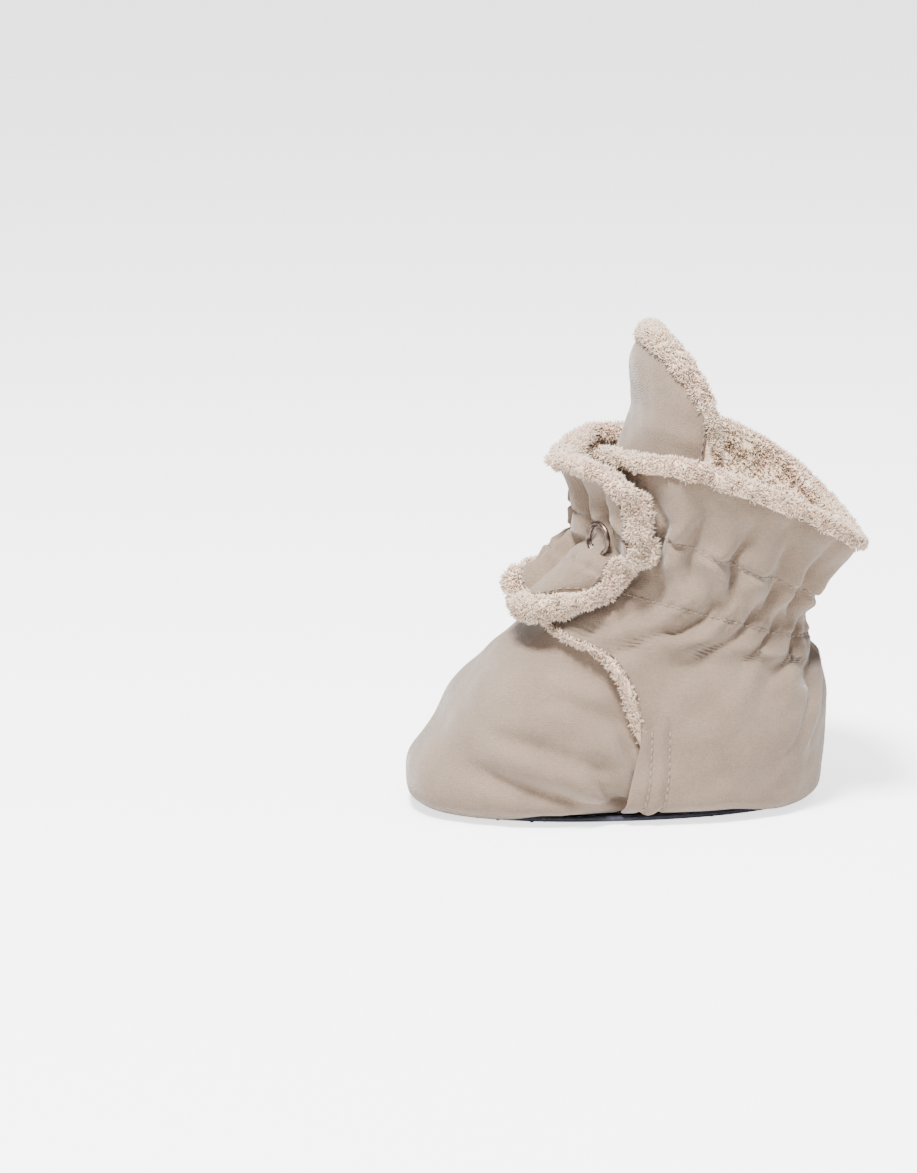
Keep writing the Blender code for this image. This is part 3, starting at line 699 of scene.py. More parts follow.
def under_flap(grid):
    """1 where the panel lies under the flap, where it has to stay calm."""
    return (smooth(-6.0, 2.0, grid[..., 0]) * smooth(42.0, 56.0, grid[..., 2])
            * smooth(-24.0, -12.0, grid[..., 1]))


def free_end(levels, radius):
    """The far end is only free, and so only rolled, below the flap's seam."""
    return radius * (1 - smooth(5.3, 5.55, levels))[:, None]


heel_us = spaced(0.0, 1.0, 300, 0.005, 0.0)
heel_surface, heel_places = ankle_grid(
    shell_levels, lambda v, pts, run: heel_run(v, pts, run, heel_us))
heel_surface = over_sole(heel_surface)
heel_up = lengths_up(heel_surface)
heel_lift = gathers(heel_surface, heel_places, shell_levels, heel_up,
                    0.6 * under_flap(heel_surface))
tuck = np.exp(-((heel_up[-1:] - heel_up) / 1.6) ** 2)
lean = 2.8 * np.maximum(0.0, 1 - shell_levels / 2.2)[:, None] ** 1.5
from_seam = heel_surface[..., 0] - lean
seam_ridge = (0.7 * np.exp(-((from_seam + 1.8) / 1.5) ** 2)
              - 0.5 * np.exp(-((from_seam - 0.6) / 0.7) ** 2)
              - 0.5 * np.exp(-((from_seam + 4.2) / 0.7) ** 2))
heel_lift += seam_ridge * (1 - smooth(3.0, 3.5, shell_levels))[:, None]
heel_outer, heel_skins = lay_cloth(
    "heel_outer", "boot", woven, heel_surface, heel_lift - 0.5 * tuck, heel_lift - SHELL,
    border_roll(heel_surface, 0.5, 0.9, 0.8, free_end(shell_levels, 0.8)),
    ["heel_shell", "heel_elastic"])

# %% Heel fleece
def lumps_of(grid, seed=31):
    """The uneven swell of fleece."""
    return 0.35 * soft_noise(grid, 5.0, seed) + 0.25 * soft_noise(grid, 11.0, seed + 1)


def fleece_heights(grid, levels, lift, top_at, shell_end=None):
    """Heights of a fleece panel's outer and inner skins: it swells past the woven edge."""
    v = levels[:, None]
    past = smooth(top_at - 0.3, top_at + 0.08, v) * np.ones(grid.shape[:2])
    if shell_end is not None:
        past = np.maximum(past, shell_end)
    lumps = lumps_of(grid)
    outer = lift - between_rows(v) * (1 - past) + past * (0.75 + lumps)
    inner = lift - THROUGH - past * 0.9 + lumps
    return outer, inner


fleece_levels = spaced(0.0, FLEECE_TOP, 124, 0.0, 0.62)
heel_fleece_us = spaced(0.0, 1.0, 240, 0.012, 0.0)
grid, places = ankle_grid(fleece_levels, lambda v, pts, run: heel_run(
    v, pts, run, heel_fleece_us, over=3.6))
heel_from_end = lengths_along(grid)
past_edge = 1 - smooth(2.2, 3.4, heel_from_end) * np.ones(grid.shape[:2])
past_edge = past_edge * smooth(2.2, 3.4, fleece_levels)[:, None]
lift = gathers(grid, places, fleece_levels, lengths_up(grid), 0.6 * under_flap(grid))
outer_h, inner_h = fleece_heights(grid, fleece_levels, lift, SHELL_TOP, past_edge * 0.7)
grid = footed(grid)
heel_fleece, heel_fleece_skins = lay_cloth(
    "heel_fleece", "boot", fleece, grid, outer_h, inner_h,
    border_roll(grid, 0.0, 2.6, 1.8, free_end(fleece_levels, 1.8)),
    ["heel_lining"])

# %% [markdown]
# ## The toe panel
# The toe is one panel from side seam to side seam, pulled over the front of the foot. The pull
# of the side seams leaves short slanting wrinkles beside them and long shallow folds across.

# %% Toe outer and fleece
# in from a side seam, up from the sole, to the same at its other end, depth, half width
near_creases = [(52.0, 27.0, 17.0, 13.0, 2.1, 3.0), (17.0, 23.0, 9.0, 3.0, 1.7, 1.7),
                (11.5, 21.0, 6.0, 3.0, 1.3, 1.3), (34.0, 36.0, 13.0, 24.0, 1.3, 2.8),
                (58.0, 17.0, 26.0, 5.0, 1.6, 2.5), (26.0, 13.0, 14.0, 2.0, 1.3, 1.7)]
far_creases = [(48.0, 22.0, 15.0, 11.0, 1.2, 3.2), (15.0, 25.0, 8.0, 3.0, 1.0, 1.7),
               (10.0, 19.0, 5.0, 3.0, 0.8, 1.3), (36.0, 34.0, 10.0, 26.0, 0.9, 3.2),
               (21.0, 13.0, 13.0, 2.0, 0.7, 1.9)]


def creases(across, up, lines):
    """Valleys along slanting lines, each with a soft ridge below it."""
    lift = np.zeros(across.shape)
    for a0, u0, a1, u1, depth, wide in lines:
        way = np.array([a1 - a0, u1 - u0])
        long = np.linalg.norm(way)
        way = way / long
        t = (across - a0) * way[0] + (up - u0) * way[1]
        off = (across - a0) * way[1] - (up - u0) * way[0]
        ends = smooth(-4.0, 6.0, t) * (1 - smooth(long - 6.0, long + 3.0, t))
        lift += ends * depth * (0.7 * np.exp(-((off + 1.7 * wide) / (1.5 * wide)) ** 2)
                                - np.exp(-(off / wide) ** 2))
    return lift


def tucked_in(grid):
    """The toe panel's ends are drawn up a little where the heel panel covers them."""
    grid = grid.copy()
    hidden = 1 - smooth(0.0, 6.0, grid[..., 0] - np.where(grid[..., 1] > 0.0, 4.0, -3.0))
    grid[..., 2] += 1.1 * hidden * (1 - smooth(3.0, 11.0, grid[..., 2]))
    return grid


def toe_folds(points, up, along):
    """Soft folds over the toe, and tight slanting wrinkles next to the side seams."""
    broad = 1.1 * soft_noise(points * np.array([0.75, 0.5, 1.5]), 30.0, 41)
    small = 0.22 * soft_noise(points, 10.0, 42)
    lines = creases(along[:, -1:] - along, up, near_creases) + creases(along, up, far_creases)
    return (broad + small) * smooth(0.0, 8.0, up) + lines * smooth(0.0, 3.0, up)


toe_levels = spaced(0.0, 8.0, 96, 0.10, 0.12)
toe_us = spaced(-1.0, 1.0, 260, 0.005, 0.005)
grid = tucked_in(over_sole(toe_grid(toe_levels, toe_us)))
lift = toe_folds(grid, lengths_up(grid), lengths_along(grid))
toe_outer, toe_skins = lay_cloth(
    "toe_outer", "boot", woven, grid, lift, lift - SHELL,
    border_roll(grid, 0.5, 0.8, 0.5, 0.5), ["toe_shell"])
toe_levels = spaced(0.0, 8.0, 60)
toe_us = np.linspace(-1.0, 1.0, 140)
grid = tucked_in(over_sole(toe_grid(toe_levels, toe_us)))
lift = toe_folds(grid, lengths_up(grid), lengths_along(grid))
grid = footed(grid)
toe_fleece, toe_fleece_skins = lay_cloth(
    "toe_fleece", "boot", fleece, grid, lift - 1.25, lift - THROUGH,
    border_roll(grid, 0.0, 1.6, 0.0, 0.0), ["toe_lining"])

# %% [markdown]
# ## The tongue
# The tongue stands up from the throat and cups round the shin. Its fleece rolls over the top
# and both sides as a fat soft band.

# %% Tongue outer and fleece
def tongue_folds(points):
    low = 1 - smooth(74.0, 104.0, points[..., 2])
    middle = np.exp(-(points[..., 1] / 15.0) ** 2)
    full = 2.4 * smooth(110.0, 119.0, points[..., 2]) * middle
    nip = 2.2 * np.exp(-((points[..., 2] - 104.0) / 6.0) ** 2) * middle
    dents = 0.9 * soft_noise(points * np.array([1.0, 1.0, 0.7]), 24.0, 51) * (0.35 + 0.65 * low)
    return dents + full - nip + 0.18 * soft_noise(points, 8.0, 52)


def tongue_cloth(shares, angles, high):
    """A tongue panel's grid, the heights of its folds, and each point's distance to its edge."""
    grid = tongue_grid(shares, angles, 0.0, high)
    up, along = lengths_up(grid), lengths_along(grid)
    edge = np.minimum(up[-1:] - up, np.minimum(along, along[:, -1:] - along))
    return grid, tongue_folds(grid), edge


tongue_angles = spaced(-70.0, 70.0, 150, 1.6, 1.6)
tongue_shares = spaced(0.0, 1.0, 110, 0.015, 0.025)
grid, lift, edge = tongue_cloth(tongue_shares, tongue_angles, 122.3)
tongue_outer, tongue_skins = lay_cloth(
    "tongue_outer", "tongue", woven, grid, lift - dip(edge), lift - SHELL,
    border_roll(grid, 0.8, 0.9, 0.9, 0.9), ["tongue_shell"])
grid, lift, edge_of_tongue = tongue_cloth(
    spaced(0.0, 1.0, 120, 0.0, 0.055), spaced(-80.5, 80.5, 150, 7.0, 7.0), 127.3)
past = 1 - smooth(4.6, 6.0, edge_of_tongue)
lumps = lumps_of(grid, 33)
tongue_fleece, tongue_fleece_skins = lay_cloth(
    "tongue_fleece", "tongue", fleece, grid, lift - 1.25 * (1 - past) + past * (0.2 + lumps),
    lift - THROUGH - 0.9 * past + lumps, border_roll(grid, 0.8, 2.6, 2.6, 2.6),
    ["tongue_lining"])

# %% [markdown]
# ## The flap
# The flap starts at the far side, crosses the front over everything else and ends beside the
# snap. Its top curls outward, so its fleece shows as a band round the whole free edge.

# %% The flap's place
FLAP_LIFT = 7.25
flap_end_x = np.array([[20.0], [9.5], [0.6], [0.6], [3.4], [10.0]])


def flap_points(levels, us, over=0.0):
    """Surface points of the flap, with the height that it stands off the ankle."""
    grid, places, stand = [], [], []
    for level in levels:
        v = np.zeros(len(us))
        low = (6.0 - 0.5 * smooth(0.5, 0.8, us) + 0.45 * smooth(0.84, 1.0, us)
               - 0.4 * (1 - smooth(0.0, 0.3, us)))
        v = np.where(level >= 6.3, level, np.where(
            level < 5.4, low - (5.4 - level), low + (level - 5.4) * (6.3 - low) / 0.9))
        row, spots, lifts = [], [], []
        for u, vu in zip(us, v):
            key = round(float(vu), 3)
            if key not in flap_loops:
                pts, run = ankle_loop(key)
                clear = 1.3 + 2.6 * (1 - smooth(5.2, 6.6, key))
                turn = np.interp(key, [5.4, 6.3, 7.6, 8.6, 10.0, 11.6], range(6))
                end_x = spline(flap_end_x, turn)[0, 0]
                flap_loops[key] = (pts, run, length_at_x(pts, run, AXIS_X + clear, -1),
                                   length_at_x(pts, run, end_x, 1),
                                   length_at_x(pts, run, 5.5, -1), length_at_y(pts, run, 4.0))
            pts, run, start, end, rise_from, rise_to = flap_loops[key]
            s = start + (end - start) * u + over * smooth(0.8, 1.0, u)
            row.append(at_length(pts, run, s))
            spots.append(s / (run[-1] - run[0]) * ROUND)
            lifts.append(FLAP_LIFT * smooth(rise_from, rise_to, s))
        grid.append(row)
        places.append(spots)
        stand.append(lifts)
    return np.array(grid), np.array(places), np.array(stand)


flap_loops = {}


def snap_frame(height):
    """The snap's axis: a frame at a height over the heel panel's woven face, in metres."""
    near = []
    for v in (7.8, 7.9, 8.0):
        pts, run = ankle_loop(v)
        near.append(at_length(pts, run, length_at_y(pts, run, 17.0) + np.array([-0.5, 0.0, 0.5])))
    grid = np.array(near)
    out = Vector(normals_of(grid)[1, 1])
    turn = out.to_track_quat("Z", "Y").to_matrix().to_4x4()
    return Matrix.Translation((Vector(grid[1, 1]) + out * height) * MM) @ turn


SNAP_SPOT = np.array(snap_frame(0.0).translation) / MM


def snap_calm(grid):
    """The cloth is held flatter round the snap."""
    return 0.7 * np.exp(-(np.linalg.norm(grid - SNAP_SPOT, axis=-1) / 6.5) ** 2)


def dish(grid):
    return 0.6 * np.exp(-(np.linalg.norm(grid - SNAP_SPOT, axis=-1) / 6.0) ** 2)


def curl(levels, along):
    """The flap's top edge bends outward, more towards its free end."""
    t = np.clip((np.asarray(levels)[:, None] - 8.7) / 2.7, 0.0, 1.0)
    return 4.6 * t * t * smooth(0.0, 22.0, along)


def flap_cloth(levels, us, over=0.0):
    """A flap panel's grid, its lengths up and along, and its height over the ankle surface."""
    grid, places, stand = flap_points(levels, us, over)
    up, along = lengths_up(grid), lengths_along(grid)
    lift = gathers(grid, places, levels, up, snap_calm(grid)) + stand + dish(grid)
    return grid, up, along, lift + curl(levels, along)


flap_shell_levels = spaced(5.4, SHELL_TOP, 96, 0.10, 0.14)
grid, up, along, lift = flap_cloth(flap_shell_levels, spaced(0.0, 1.0, 190, 0.0, 0.012))
edge = np.minimum(up[-1:] - up, np.minimum(up, along[:, -1:] - along))
flap_outer, flap_skins = lay_cloth(
    "flap_outer", "flap", woven, grid, lift - dip(edge), lift - SHELL,
    border_roll(grid, 0.9, 0.9, 0.0, 0.9), ["flap_shell", "flap_elastic"])
flap_levels = spaced(5.10, FLEECE_TOP, 96, 0.5, 0.62)
grid, up, along, lift = flap_cloth(flap_levels, spaced(0.0, 1.0, 160, 0.0, 0.05), over=4.2)
flap_to_end = along[:, -1:] - along
past_edge = 1 - smooth(3.0, 4.3, flap_to_end) * smooth(5.28, 5.46, flap_levels)[:, None]
outer_h, inner_h = fleece_heights(grid, flap_levels, lift, SHELL_TOP, past_edge)
flap_fleece, flap_fleece_skins = lay_cloth(
    "flap_fleece", "flap", fleece, grid, outer_h, inner_h,
    border_roll(grid, 2.2, 2.6, 0.0, 2.4), ["flap_lining"])

# %% [markdown]
# ## Where the moving panels are sewn on
# The flap and the tongue are not hinged, their cloth simply runs on and bends. So a narrow strip
# fills each seam, laid in place on no body of its own.


def far_seam(v, pts, run, us):
    """Lengths from the heel panel's far end to where the flap starts."""
    first = length_at_x(pts, run, 3.0 - 0.6 * smooth(4.6, 5.4, v), -1)
    last = length_at_x(pts, run, AXIS_X + 1.3 + 2.6 * (1 - smooth(5.2, 6.6, v)), -1)
    return first + (last - first) * us


def bending_strip(name, grid, outer, inner, roll, mat):
    ob, skins = lay_cloth(name, None, mat, grid, outer, inner, roll, ())
    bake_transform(ob)
    return skins


seam_us = np.linspace(0.0, 1.0, 9)
seam_levels = spaced(5.6, SHELL_TOP, 90, 0.10, 0.14)
grid, places = ankle_grid(seam_levels, lambda v, pts, run: far_seam(v, pts, run, seam_us))
up = lengths_up(grid)
lift = gathers(grid, places, seam_levels, up)
edge = np.minimum(up[-1:] - up, up)
bending_strip("flap_seam_outer", grid, lift - dip(edge), lift - SHELL,
              border_roll(grid, 0.9, 0.9), woven)
seam_levels = spaced(5.3, FLEECE_TOP, 90, 0.5, 0.62)
grid, places = ankle_grid(seam_levels, lambda v, pts, run: far_seam(v, pts, run, seam_us))
up = lengths_up(grid)
lift = gathers(grid, places, seam_levels, up)
outer_h, inner_h = fleece_heights(grid, seam_levels, lift, SHELL_TOP)
seam_skins = bending_strip("flap_seam_fleece", grid, outer_h, inner_h, border_roll(grid, 2.2, 2.6),
                           fleece)

# %% The throat, between toe and tongue
def throat_grid(depth):
    """From the middle of the toe's top edge to the middle of the tongue's foot."""
    us = np.linspace(-1.0, 1.0, 40)
    low = toe_grid(np.array([7.6, 7.8, 8.0]), us * 0.42)
    low = (low - normals_of(low) * depth)[1]
    high = tongue_grid(np.array([0.0, 0.02, 0.04]), us * 30.0, 0.0, 120.8)
    high = (high - normals_of(high) * depth)[1]
    t = np.linspace(0.0, 1.0, 12)[:, None, None]
    return low * (1 - t) + high * t


for name, depth, thick, mat, slot in (("throat_outer", 0.3, 0.7, woven, "woven_shell"),
                                      ("throat_fleece", 1.2, 2.1, fleece, "plush_fleece")):
    grid = throat_grid(depth)
    flat = np.zeros(grid.shape[:2])
    bending_strip(name, grid, flat, flat - thick, border_roll(grid, 0.3, 0.3, 0.6, 0.6), mat)

# %% [markdown]
# ## Sole and insole
# The sole is a dark grip fabric with small raised dots, sewn on inside the bulging uppers. The
# insole is a fleece pad on a thin layer of foam.

# %% Sole materials
grip = speckled("grip_fabric", 0.62, (120.0, 4.0),
                ((0.35, (0.010, 0.012, 0.024)), (0.75, (0.026, 0.028, 0.042))),
                (1400.0, 3.0), 0.0003, Specular_IOR_Level=0.4)
print("made", grip.name)

# %% Sole plate and insole
def sole_grid(inset, waist, rows, columns):
    """Points over the sole's outline, in rows across and columns along."""
    c = np.cos(np.linspace(math.pi, 0.0, columns))
    x = 4.6 + np.sign(c) * np.abs(c) ** 0.86 * (np.where(c > 0, 52.4, 51.6) - inset)
    half = 28.9 - 1.5 * np.maximum(-c, 0.0)
    half = (1 - c * c) ** 0.43 * (half - inset)
    half = half - waist * np.exp(-((x + 2.0) / 12.0) ** 4)
    t = np.sin(np.linspace(-math.pi / 2, math.pi / 2, rows))[:, None]
    return np.stack([x + 0 * t, np.maximum(half, 0.4) * t, np.zeros((rows, columns))], axis=-1)


grid = sole_grid(0.0, 0.0, 40, 110)
flat = np.zeros(grid.shape[:2])
lay_cloth("grip_sole", "boot", grip, grid, flat + 2.2, flat + 0.8,
          border_roll(grid, 0.7, 0.7, 0.7, 0.7), ["outsole"])
grid = sole_grid(4.4, 1.6, 60, 120)
lumps = 0.3 * soft_noise(grid, 6.0, 61) + 0.35 * soft_noise(grid, 22.0, 62)
edge = np.minimum(lengths_up(grid), lengths_up(grid)[-1:] - lengths_up(grid))
insole, _ = lay_cloth(
    "insole_fleece", "boot", fleece, grid, 6.5 + lumps - 0.5 * np.exp(-(edge / 5.0) ** 2),
    np.full(grid.shape[:2], 4.4), border_roll(grid, 1.5, 1.5, 1.5, 1.5), ["insole_lining"])

# %% [markdown]
# ## Small shapes, many times over
# Tufts, stitches and grip dots are one small shape each, doubled again and again inside one
# mesh and then moved into place, which is quick and keeps every copy a closed body.

# %% Copies of one small shape
def copies(name, body, mat, unit, centre, across, out, along, replaces=(), slot=None):
    """One piece of many copies: the unit's x, y and z axes become across, out and along."""
    count = len(centre)
    shape = np.array([v.co for v in unit.verts])
    corner = unit.verts.layers.int.new("corner")
    for k, v in enumerate(unit.verts):
        v[corner] = k
    made = 1
    while made < count:           # each doubling is moved aside, so a copy's number is its x / 8
        twin = bmesh.ops.duplicate(unit, geom=[*unit.verts, *unit.edges, *unit.faces])
        fresh = [g for g in twin["geom"] if isinstance(g, bmesh.types.BMVert)]
        bmesh.ops.translate(unit, verts=fresh, vec=(made * 8.0, 0.0, 0.0))
        made *= 2
    spare = [v for v in unit.verts if round(v.co.x / 8.0) >= count]
    bmesh.ops.delete(unit, geom=spare, context="VERTS")
    which = np.array([round(v.co.x / 8.0) for v in unit.verts])
    corners = np.array([v[corner] for v in unit.verts])
    unit.verts.layers.int.remove(corner)
    local = shape[corners]
    place = (centre[which] + local[:, 0, None] * across[which]
             + local[:, 1, None] * out[which] + local[:, 2, None] * along[which])
    ob = settle(name, body, mat, unit, replaces)
    ob.data.vertices.foreach_set("co", (place * MM).astype(np.float32).ravel())
    ob.data.update()
    return ob, which, corners


def at_index(grid, i, j):
    """Points of a grid at fractional level and column numbers."""
    i = np.clip(i, 0, grid.shape[0] - 1.001)
    j = np.clip(j, 0, grid.shape[1] - 1.001)
    a, b = i.astype(int), j.astype(int)
    f, g = (i - a)[:, None], (j - b)[:, None]
    return ((grid[a, b] * (1 - g) + grid[a, b + 1] * g) * (1 - f)
            + (grid[a + 1, b] * (1 - g) + grid[a + 1, b + 1] * g) * f)


# %% One tuft of pile
def tuft_shape():
    """A bent three-sided tuft one unit tall, closed at the root and pointed at the tip."""
    bm = bmesh.new()
    made = bmesh.ops.create_cone(bm, cap_ends=True, segments=3, radius1=1.0, radius2=0.78,
                                 depth=0.55)
    bmesh.ops.translate(bm, verts=made["verts"], vec=(0.0, 0.0, 0.275))
    cap = [f for f in bm.faces if all(v.co.z > 0.5 for v in f.verts)]
    tip = bmesh.ops.extrude_face_region(bm, geom=cap)
    verts = [g for g in tip["geom"] if isinstance(g, bmesh.types.BMVert)]
    bmesh.ops.delete(bm, geom=cap, context="FACES")
    bmesh.ops.pointmerge(bm, verts=verts, merge_co=(0.0, 0.0, 1.0))
    bmesh.ops.recalc_face_normals(bm, faces=bm.faces)
    for v in bm.verts:
        v.co.y += 1.6 * v.co.z ** 2
    return bm


def pile(name, body, parts, count, length, seed, radius=0.27):
    """Tufts over some skins. parts are (skin, weight per point, side): side -1 is a wrong side."""
    rng = np.random.default_rng(seed)
    areas = []
    for skin, weight, side in parts:
        a = np.linalg.norm(np.cross(np.gradient(skin, axis=1), np.gradient(skin, axis=0)), axis=-1)
        areas.append(a[:-1, :-1] * weight[:-1, :-1])
    total = sum(a.sum() for a in areas)
    roots, ways = [], []
    for (skin, weight, side), area in zip(parts, areas):
        share = int(count * area.sum() / total)
        cell = rng.choice(area.size, share, p=area.ravel() / area.sum())
        i = cell // area.shape[1] + rng.random(share)
        j = cell % area.shape[1] + rng.random(share)
        roots.append(at_index(skin, i, j))
        ways.append(unit_of(at_index(normals_of(skin) * side, i, j)))
    roots, ways = np.concatenate(roots), np.concatenate(ways)
    clump = np.stack([soft_noise(roots, 3.4, seed + k) for k in (1, 2, 3)], axis=-1)
    lean = unit_of(ways + 0.55 * clump + 0.30 * rng.normal(size=ways.shape))
    across = unit_of(np.cross(lean, rng.normal(size=ways.shape)))
    side = np.cross(lean, across)
    tall = length * rng.uniform(0.7, 1.25, len(roots))[:, None]
    wide = radius * rng.uniform(0.75, 1.25, len(roots))[:, None]
    shape = tuft_shape()
    heights = np.array([v.co.z for v in shape.verts])
    ob, which, corners = copies(name, body, fleece, shape, roots - ways * 0.15 * length,
                                across * wide, side * wide, lean * tall, slot="plush_fleece")
    # painted shade: each tuft runs from the dark root colour at its foot to full colour near its
    # tip, and every tuft is also made a little darker at random
    painted_shade_layer = ob.data.attributes.new("tip", "FLOAT", "POINT")
    glow = rng.uniform(0.82, 1.0, len(roots))[which]
    shine = np.minimum(heights[corners] * 1.35, 1.0) * glow
    painted_shade_layer.data.foreach_set("value", shine.astype(np.float32))
    return ob


print("one tuft:", len(tuft_shape().faces), "faces")

# %% [markdown]
# ## Stitches
# Thread shows as short plump stitches that sink into the cloth at both ends. They run beside
# the side seams, along both rows of elastic and in the ditch between cloth and fleece.

# %% Thread and stitch
thread = speckled("greige_thread", 0.72, (2600.0, 2.0),
                  ((0.3, (0.18, 0.1332, 0.1008)), (0.7, (0.25, 0.185, 0.14))),
                  (2600.0, 2.0), 0.00015, Sheen_Weight=0.3, Sheen_Roughness=0.5)


def stitches(name, body, paths, pitch, replaces=(), length=0.74, radius=0.30):
    """Stitches at an even pitch along paths of points on the cloth, given with their normals."""
    centre, across, out, along = [], [], [], []
    for points, normals in paths:
        run = running_length(points)
        at = np.arange(pitch / 2, run[-1], pitch)
        p = np.stack([np.interp(at, run, points[:, k]) for k in range(3)], axis=1)
        q = np.stack([np.interp(at + 0.3, run, points[:, k]) for k in range(3)], axis=1)
        n = unit_of(np.stack([np.interp(at, run, normals[:, k]) for k in range(3)], axis=1))
        t = unit_of(q - p)
        centre.append(p + n * 0.16)
        across.append(np.cross(t, n) * radius)
        out.append(n * radius * 0.85)
        along.append(t * pitch * length / 2)
    bm = bmesh.new()
    bmesh.ops.create_uvsphere(bm, u_segments=6, v_segments=5, radius=1.0)
    copies(name, body, thread, bm, *(np.concatenate(x) for x in (centre, across, out, along)),
           replaces=replaces, slot="sewing_thread")


def level_path(skin, levels, level, first=0, last=None):
    """Points and normals along one level of a skin."""
    i = np.interp(level, levels, np.arange(len(levels)))
    j = np.arange(first, last or skin.shape[1] - 1, dtype=float)
    rows = np.full(len(j), i)
    return at_index(skin, rows, j), at_index(normals_of(skin), rows, j)


def side_path(grid, skin, levels, x, side):
    """Points and normals up a skin at x millimetres, on the snap side or the far side."""
    keep = [i for i, v in enumerate(levels) if 0.35 < v < 3.1]
    columns = []
    for i in keep:
        j = np.flatnonzero(np.sign(grid[i, :, 1]) == side)
        lean = x + 2.8 * max(0.0, 1 - levels[i] / 2.2) ** 1.5
        columns.append(float(j[np.argmin(np.abs(grid[i, j, 0] - lean))]))
    columns = np.convolve(np.pad(columns, 2, mode="edge"), np.ones(5) / 5, mode="valid")
    rows = np.array(keep, float)
    return at_index(skin, rows, columns), at_index(normals_of(skin), rows, columns)


for side, word in ((1, "near"), (-1, "far")):
    for x, which in ((0.6, "front"), (-4.2, "rear")):
        stitches(f"side_stitches_{word}_{which}", "boot",
                 [side_path(heel_surface, heel_skins[0], shell_levels, x, side)], 2.1,
                 [f"side_thread_{word}_{which}"])
for level, which in ((LOW_ROW, "lower"), (HIGH_ROW, "upper")):
    stitches(f"gather_stitches_heel_{which}", "boot",
             [level_path(heel_skins[0], shell_levels, level, 30)], 1.7,
             [f"gather_thread_heel_{which}"], radius=0.24)
stitches("rim_stitches_heel", "boot",
         [level_path(heel_skins[0], shell_levels, SHELL_TOP - 0.14)], 2.3, radius=0.22)

# %% Flap and tongue stitches
def end_path(skin, levels, inset, low, high):
    """Points and normals up a skin, some columns in from its last, or from its first if below 0."""
    rows = np.array([i for i, v in enumerate(levels) if low < v < high], float)
    columns = np.full(len(rows), skin.shape[1] - 1.0 - inset if inset > 0 else -float(inset))
    return at_index(skin, rows, columns), at_index(normals_of(skin), rows, columns)


for level, which in ((LOW_ROW, "lower"), (HIGH_ROW, "upper")):
    stitches(f"gather_stitches_flap_{which}", "flap",
             [level_path(flap_skins[0], flap_shell_levels, level, 2, 118)], 1.7,
             [f"gather_thread_flap_{which}"], radius=0.24)
stitches("rim_stitches_flap", "flap", [
    level_path(flap_skins[0], flap_shell_levels, SHELL_TOP - 0.16, 2),
    level_path(flap_skins[0], flap_shell_levels, 5.46, 2),
    end_path(flap_skins[0], flap_shell_levels, 5, 5.6, SHELL_TOP - 0.3)], 2.3, radius=0.22)
stitches("rim_stitches_tongue", "tongue", [
    level_path(tongue_skins[0], tongue_shares, 0.987, 6, len(tongue_angles) - 6),
    end_path(tongue_skins[0], tongue_shares, 6, 0.04, 0.985),
    end_path(tongue_skins[0], tongue_shares, -6, 0.04, 0.985)], 2.3, radius=0.22)

# %% [markdown]
# ## The ring snap
# The cap of the snap is an open ring pressed through the flap, in dark bronze plating. It has a
# round outer bead and an inner lip, and its plating is rubbed bright in scattered patches.

# %% Snap metal
def bronze_material():
    mat, shader = new_material("dark_bronze", 0.3, Metallic=1.0, Coat_Weight=0.25,
                               Coat_Roughness=0.2)
    where = add_node(mat, "TexCoord").outputs["Object"]
    rubbed = noise(mat, where, 700.0, 4.0)
    tone = ramp(mat, rubbed, (0.40, (0.075, 0.050, 0.042)), (0.68, (0.21, 0.155, 0.125)))
    gloss = ramp(mat, rubbed, (0.3, (0.22, 0.22, 0.22)), (0.7, (0.42, 0.42, 0.42)))
    link = mat.node_tree.links.new
    link(tone, shader.inputs["Base Color"])
    link(gloss, shader.inputs["Roughness"])
    bump(mat, shader, rubbed, 0.00006)
    return mat


bronze = bronze_material()


def turned_ring(outline, frame, steps=72):
    """A closed outline of (radius, height) points in millimetres, spun round its axis."""
    bm = bmesh.new()
    verts = [bm.verts.new((r * MM, 0.0, h * MM)) for r, h in outline]
    edges = [bm.edges.new(pair) for pair in zip(verts, verts[1:] + verts[:1])]
    bmesh.ops.spin(bm, geom=verts + edges, axis=(0, 0, 1), cent=(0, 0, 0), angle=math.tau,
                   steps=steps, use_merge=True)
    bmesh.ops.remove_doubles(bm, verts=bm.verts, dist=1e-6)
    bmesh.ops.recalc_face_normals(bm, faces=bm.faces)
    bmesh.ops.transform(bm, matrix=frame, verts=bm.verts)
    return bm


ring_outline = [(3.30, 0.0), (4.45, -0.05), (4.68, 0.12), (4.75, 0.42), (4.66, 0.78), (4.42, 1.04),
                (4.10, 1.12), (3.82, 1.02), (3.66, 0.80), (3.54, 0.62), (3.38, 0.58), (3.26, 0.42)]
settle("ring_cap", "flap", bronze, turned_ring(ring_outline, snap_frame(FLAP_LIFT + 1.85)),
       ["snap_ring"])

# %% [markdown]
# ## Pile
# Fleece reads as fleece because of its outline: thousands of small bent tufts stand out of the
# rolled edges, lean together in clumps, and thin out down inside the boot.

# %% Pile on the collar, flap and tongue
def past_level(levels, columns, level, soft=0.25):
    return smooth(level - soft, level + soft, np.asarray(levels))[:, None] * np.ones((1, columns))


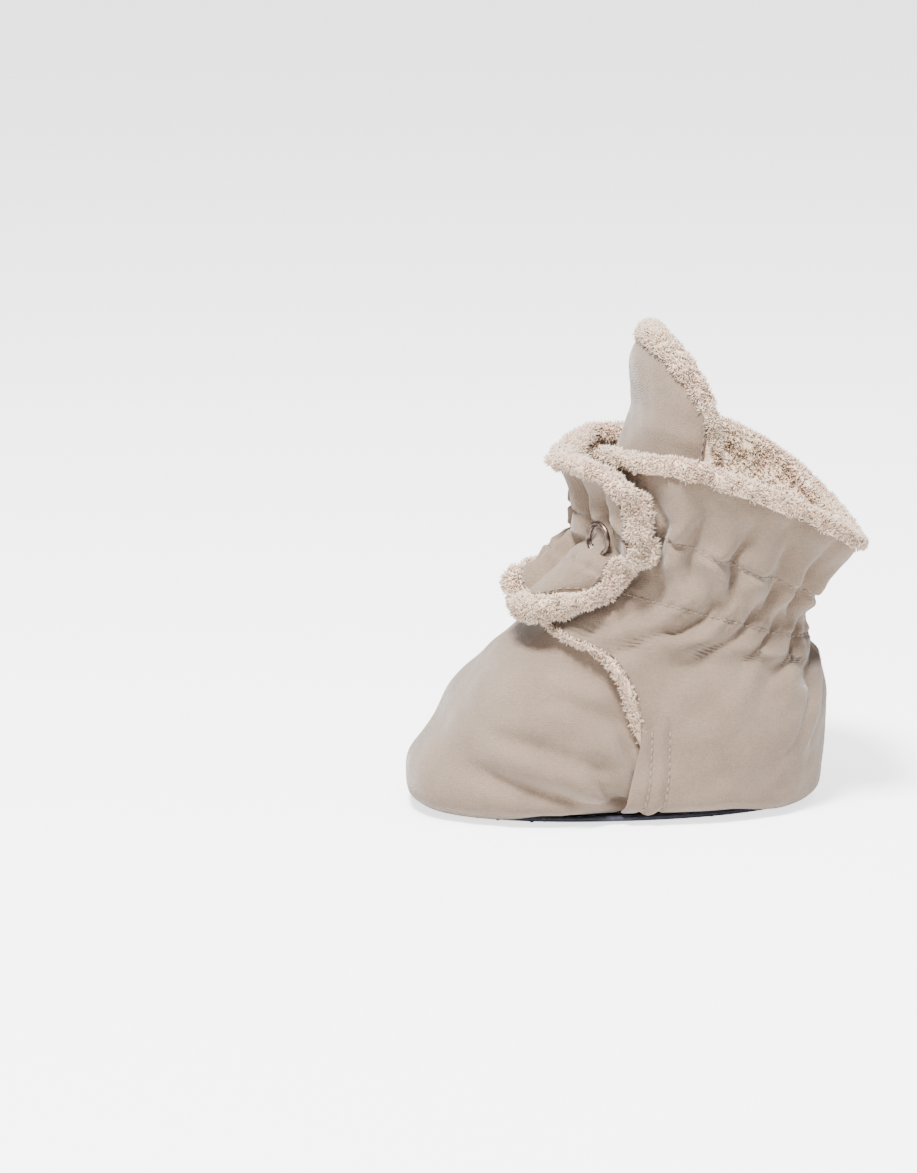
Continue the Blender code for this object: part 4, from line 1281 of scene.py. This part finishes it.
outer_skin, inner_skin = heel_fleece_skins
columns = outer_skin.shape[1]
front_edge = (1 - smooth(3.6, 4.2, heel_from_end)) * smooth(2.6, 3.2, fleece_levels)[:, None]
band = np.maximum(past_level(fleece_levels, columns, SHELL_TOP - 0.02, 0.12), front_edge)
pile("collar_pile", "boot", [
    (outer_skin, band, 1),
    (inner_skin, past_level(fleece_levels, columns, 8.6, 0.8) * 0.6
     + past_level(fleece_levels, columns, 10.8) * 0.4, -1)], 19500, 1.35, 71)
outer_skin, inner_skin = flap_fleece_skins
columns = outer_skin.shape[1]
band = np.maximum(past_level(flap_levels, columns, SHELL_TOP - 0.02, 0.12),
                  1 - smooth(4.3, 4.9, flap_to_end) * smooth(5.40, 5.48, flap_levels)[:, None])
pile("flap_pile", "flap", [(outer_skin, band, 1), (inner_skin, 0.35 + 0.65 * band, -1)],
     18500, 1.55, 72)
outer_skin, inner_skin = tongue_fleece_skins
band = 1 - smooth(5.0, 5.8, edge_of_tongue)
pile("tongue_pile", "tongue", [(outer_skin, band, 1), (inner_skin, 0.5 + 0.5 * band, -1)],
     18500, 1.55, 73)

seam_band = past_level(seam_levels, seam_skins[0].shape[1], SHELL_TOP - 0.02)
seam_pile = pile("seam_pile", None, [
    (seam_skins[0], seam_band, 1), (seam_skins[1], 0.4 + 0.6 * seam_band, -1)], 500, 1.55, 74)
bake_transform(seam_pile)

# %% Grip dots under the sole
def dome_shape():
    bm = bmesh.new()
    bmesh.ops.create_uvsphere(bm, u_segments=8, v_segments=6, radius=1.0)
    return bm


def dot_places(spacing=3.4):
    """Places of the dots, staggered over the sole and inside its outline."""
    spots = []
    for row in range(-9, 10):
        for k in range(-17, 18):
            x, y = (k + 0.5 * (row % 2)) * spacing, row * spacing * 0.866
            c = (x - 4.6) / 49.5
            if abs(c) < 1.0 and abs(y) < (26.4 - 1.5 * max(-c, 0.0)) * (1 - abs(c) ** 2.33) ** 0.43:
                spots.append((x, y, 0.78))
    return np.array(spots)


spots = dot_places()
axes = np.eye(3)[None].repeat(len(spots), axis=0)
copies("grip_dots", "boot", grip, dome_shape(), spots, axes[:, 0] * 0.95, axes[:, 1] * 0.95,
       axes[:, 2] * 0.75, slot="grip_sole")

# %% [markdown]
# ## What stays from the CAD model
# The stud, the socket and the ring inside are turned metal and already have the right shape.
# The foam under the insole is hidden, and keeps a plain foam finish with fine cells.

# %% Finishes for the CAD pieces
foam = speckled("insole_foam", 0.9, (1800.0, 2.0),
                ((0.35, (0.55, 0.55, 0.52)), (0.65, (0.78, 0.78, 0.75))), (1800.0, 2.0), 0.0002)
for node, mat in (("snap_stud", bronze), ("snap_socket", bronze), ("snap_back_ring", bronze),
                  ("sole_padding", foam)):
    frame["nodes"][node].data.materials.clear()
    frame["nodes"][node].data.materials.append(mat)
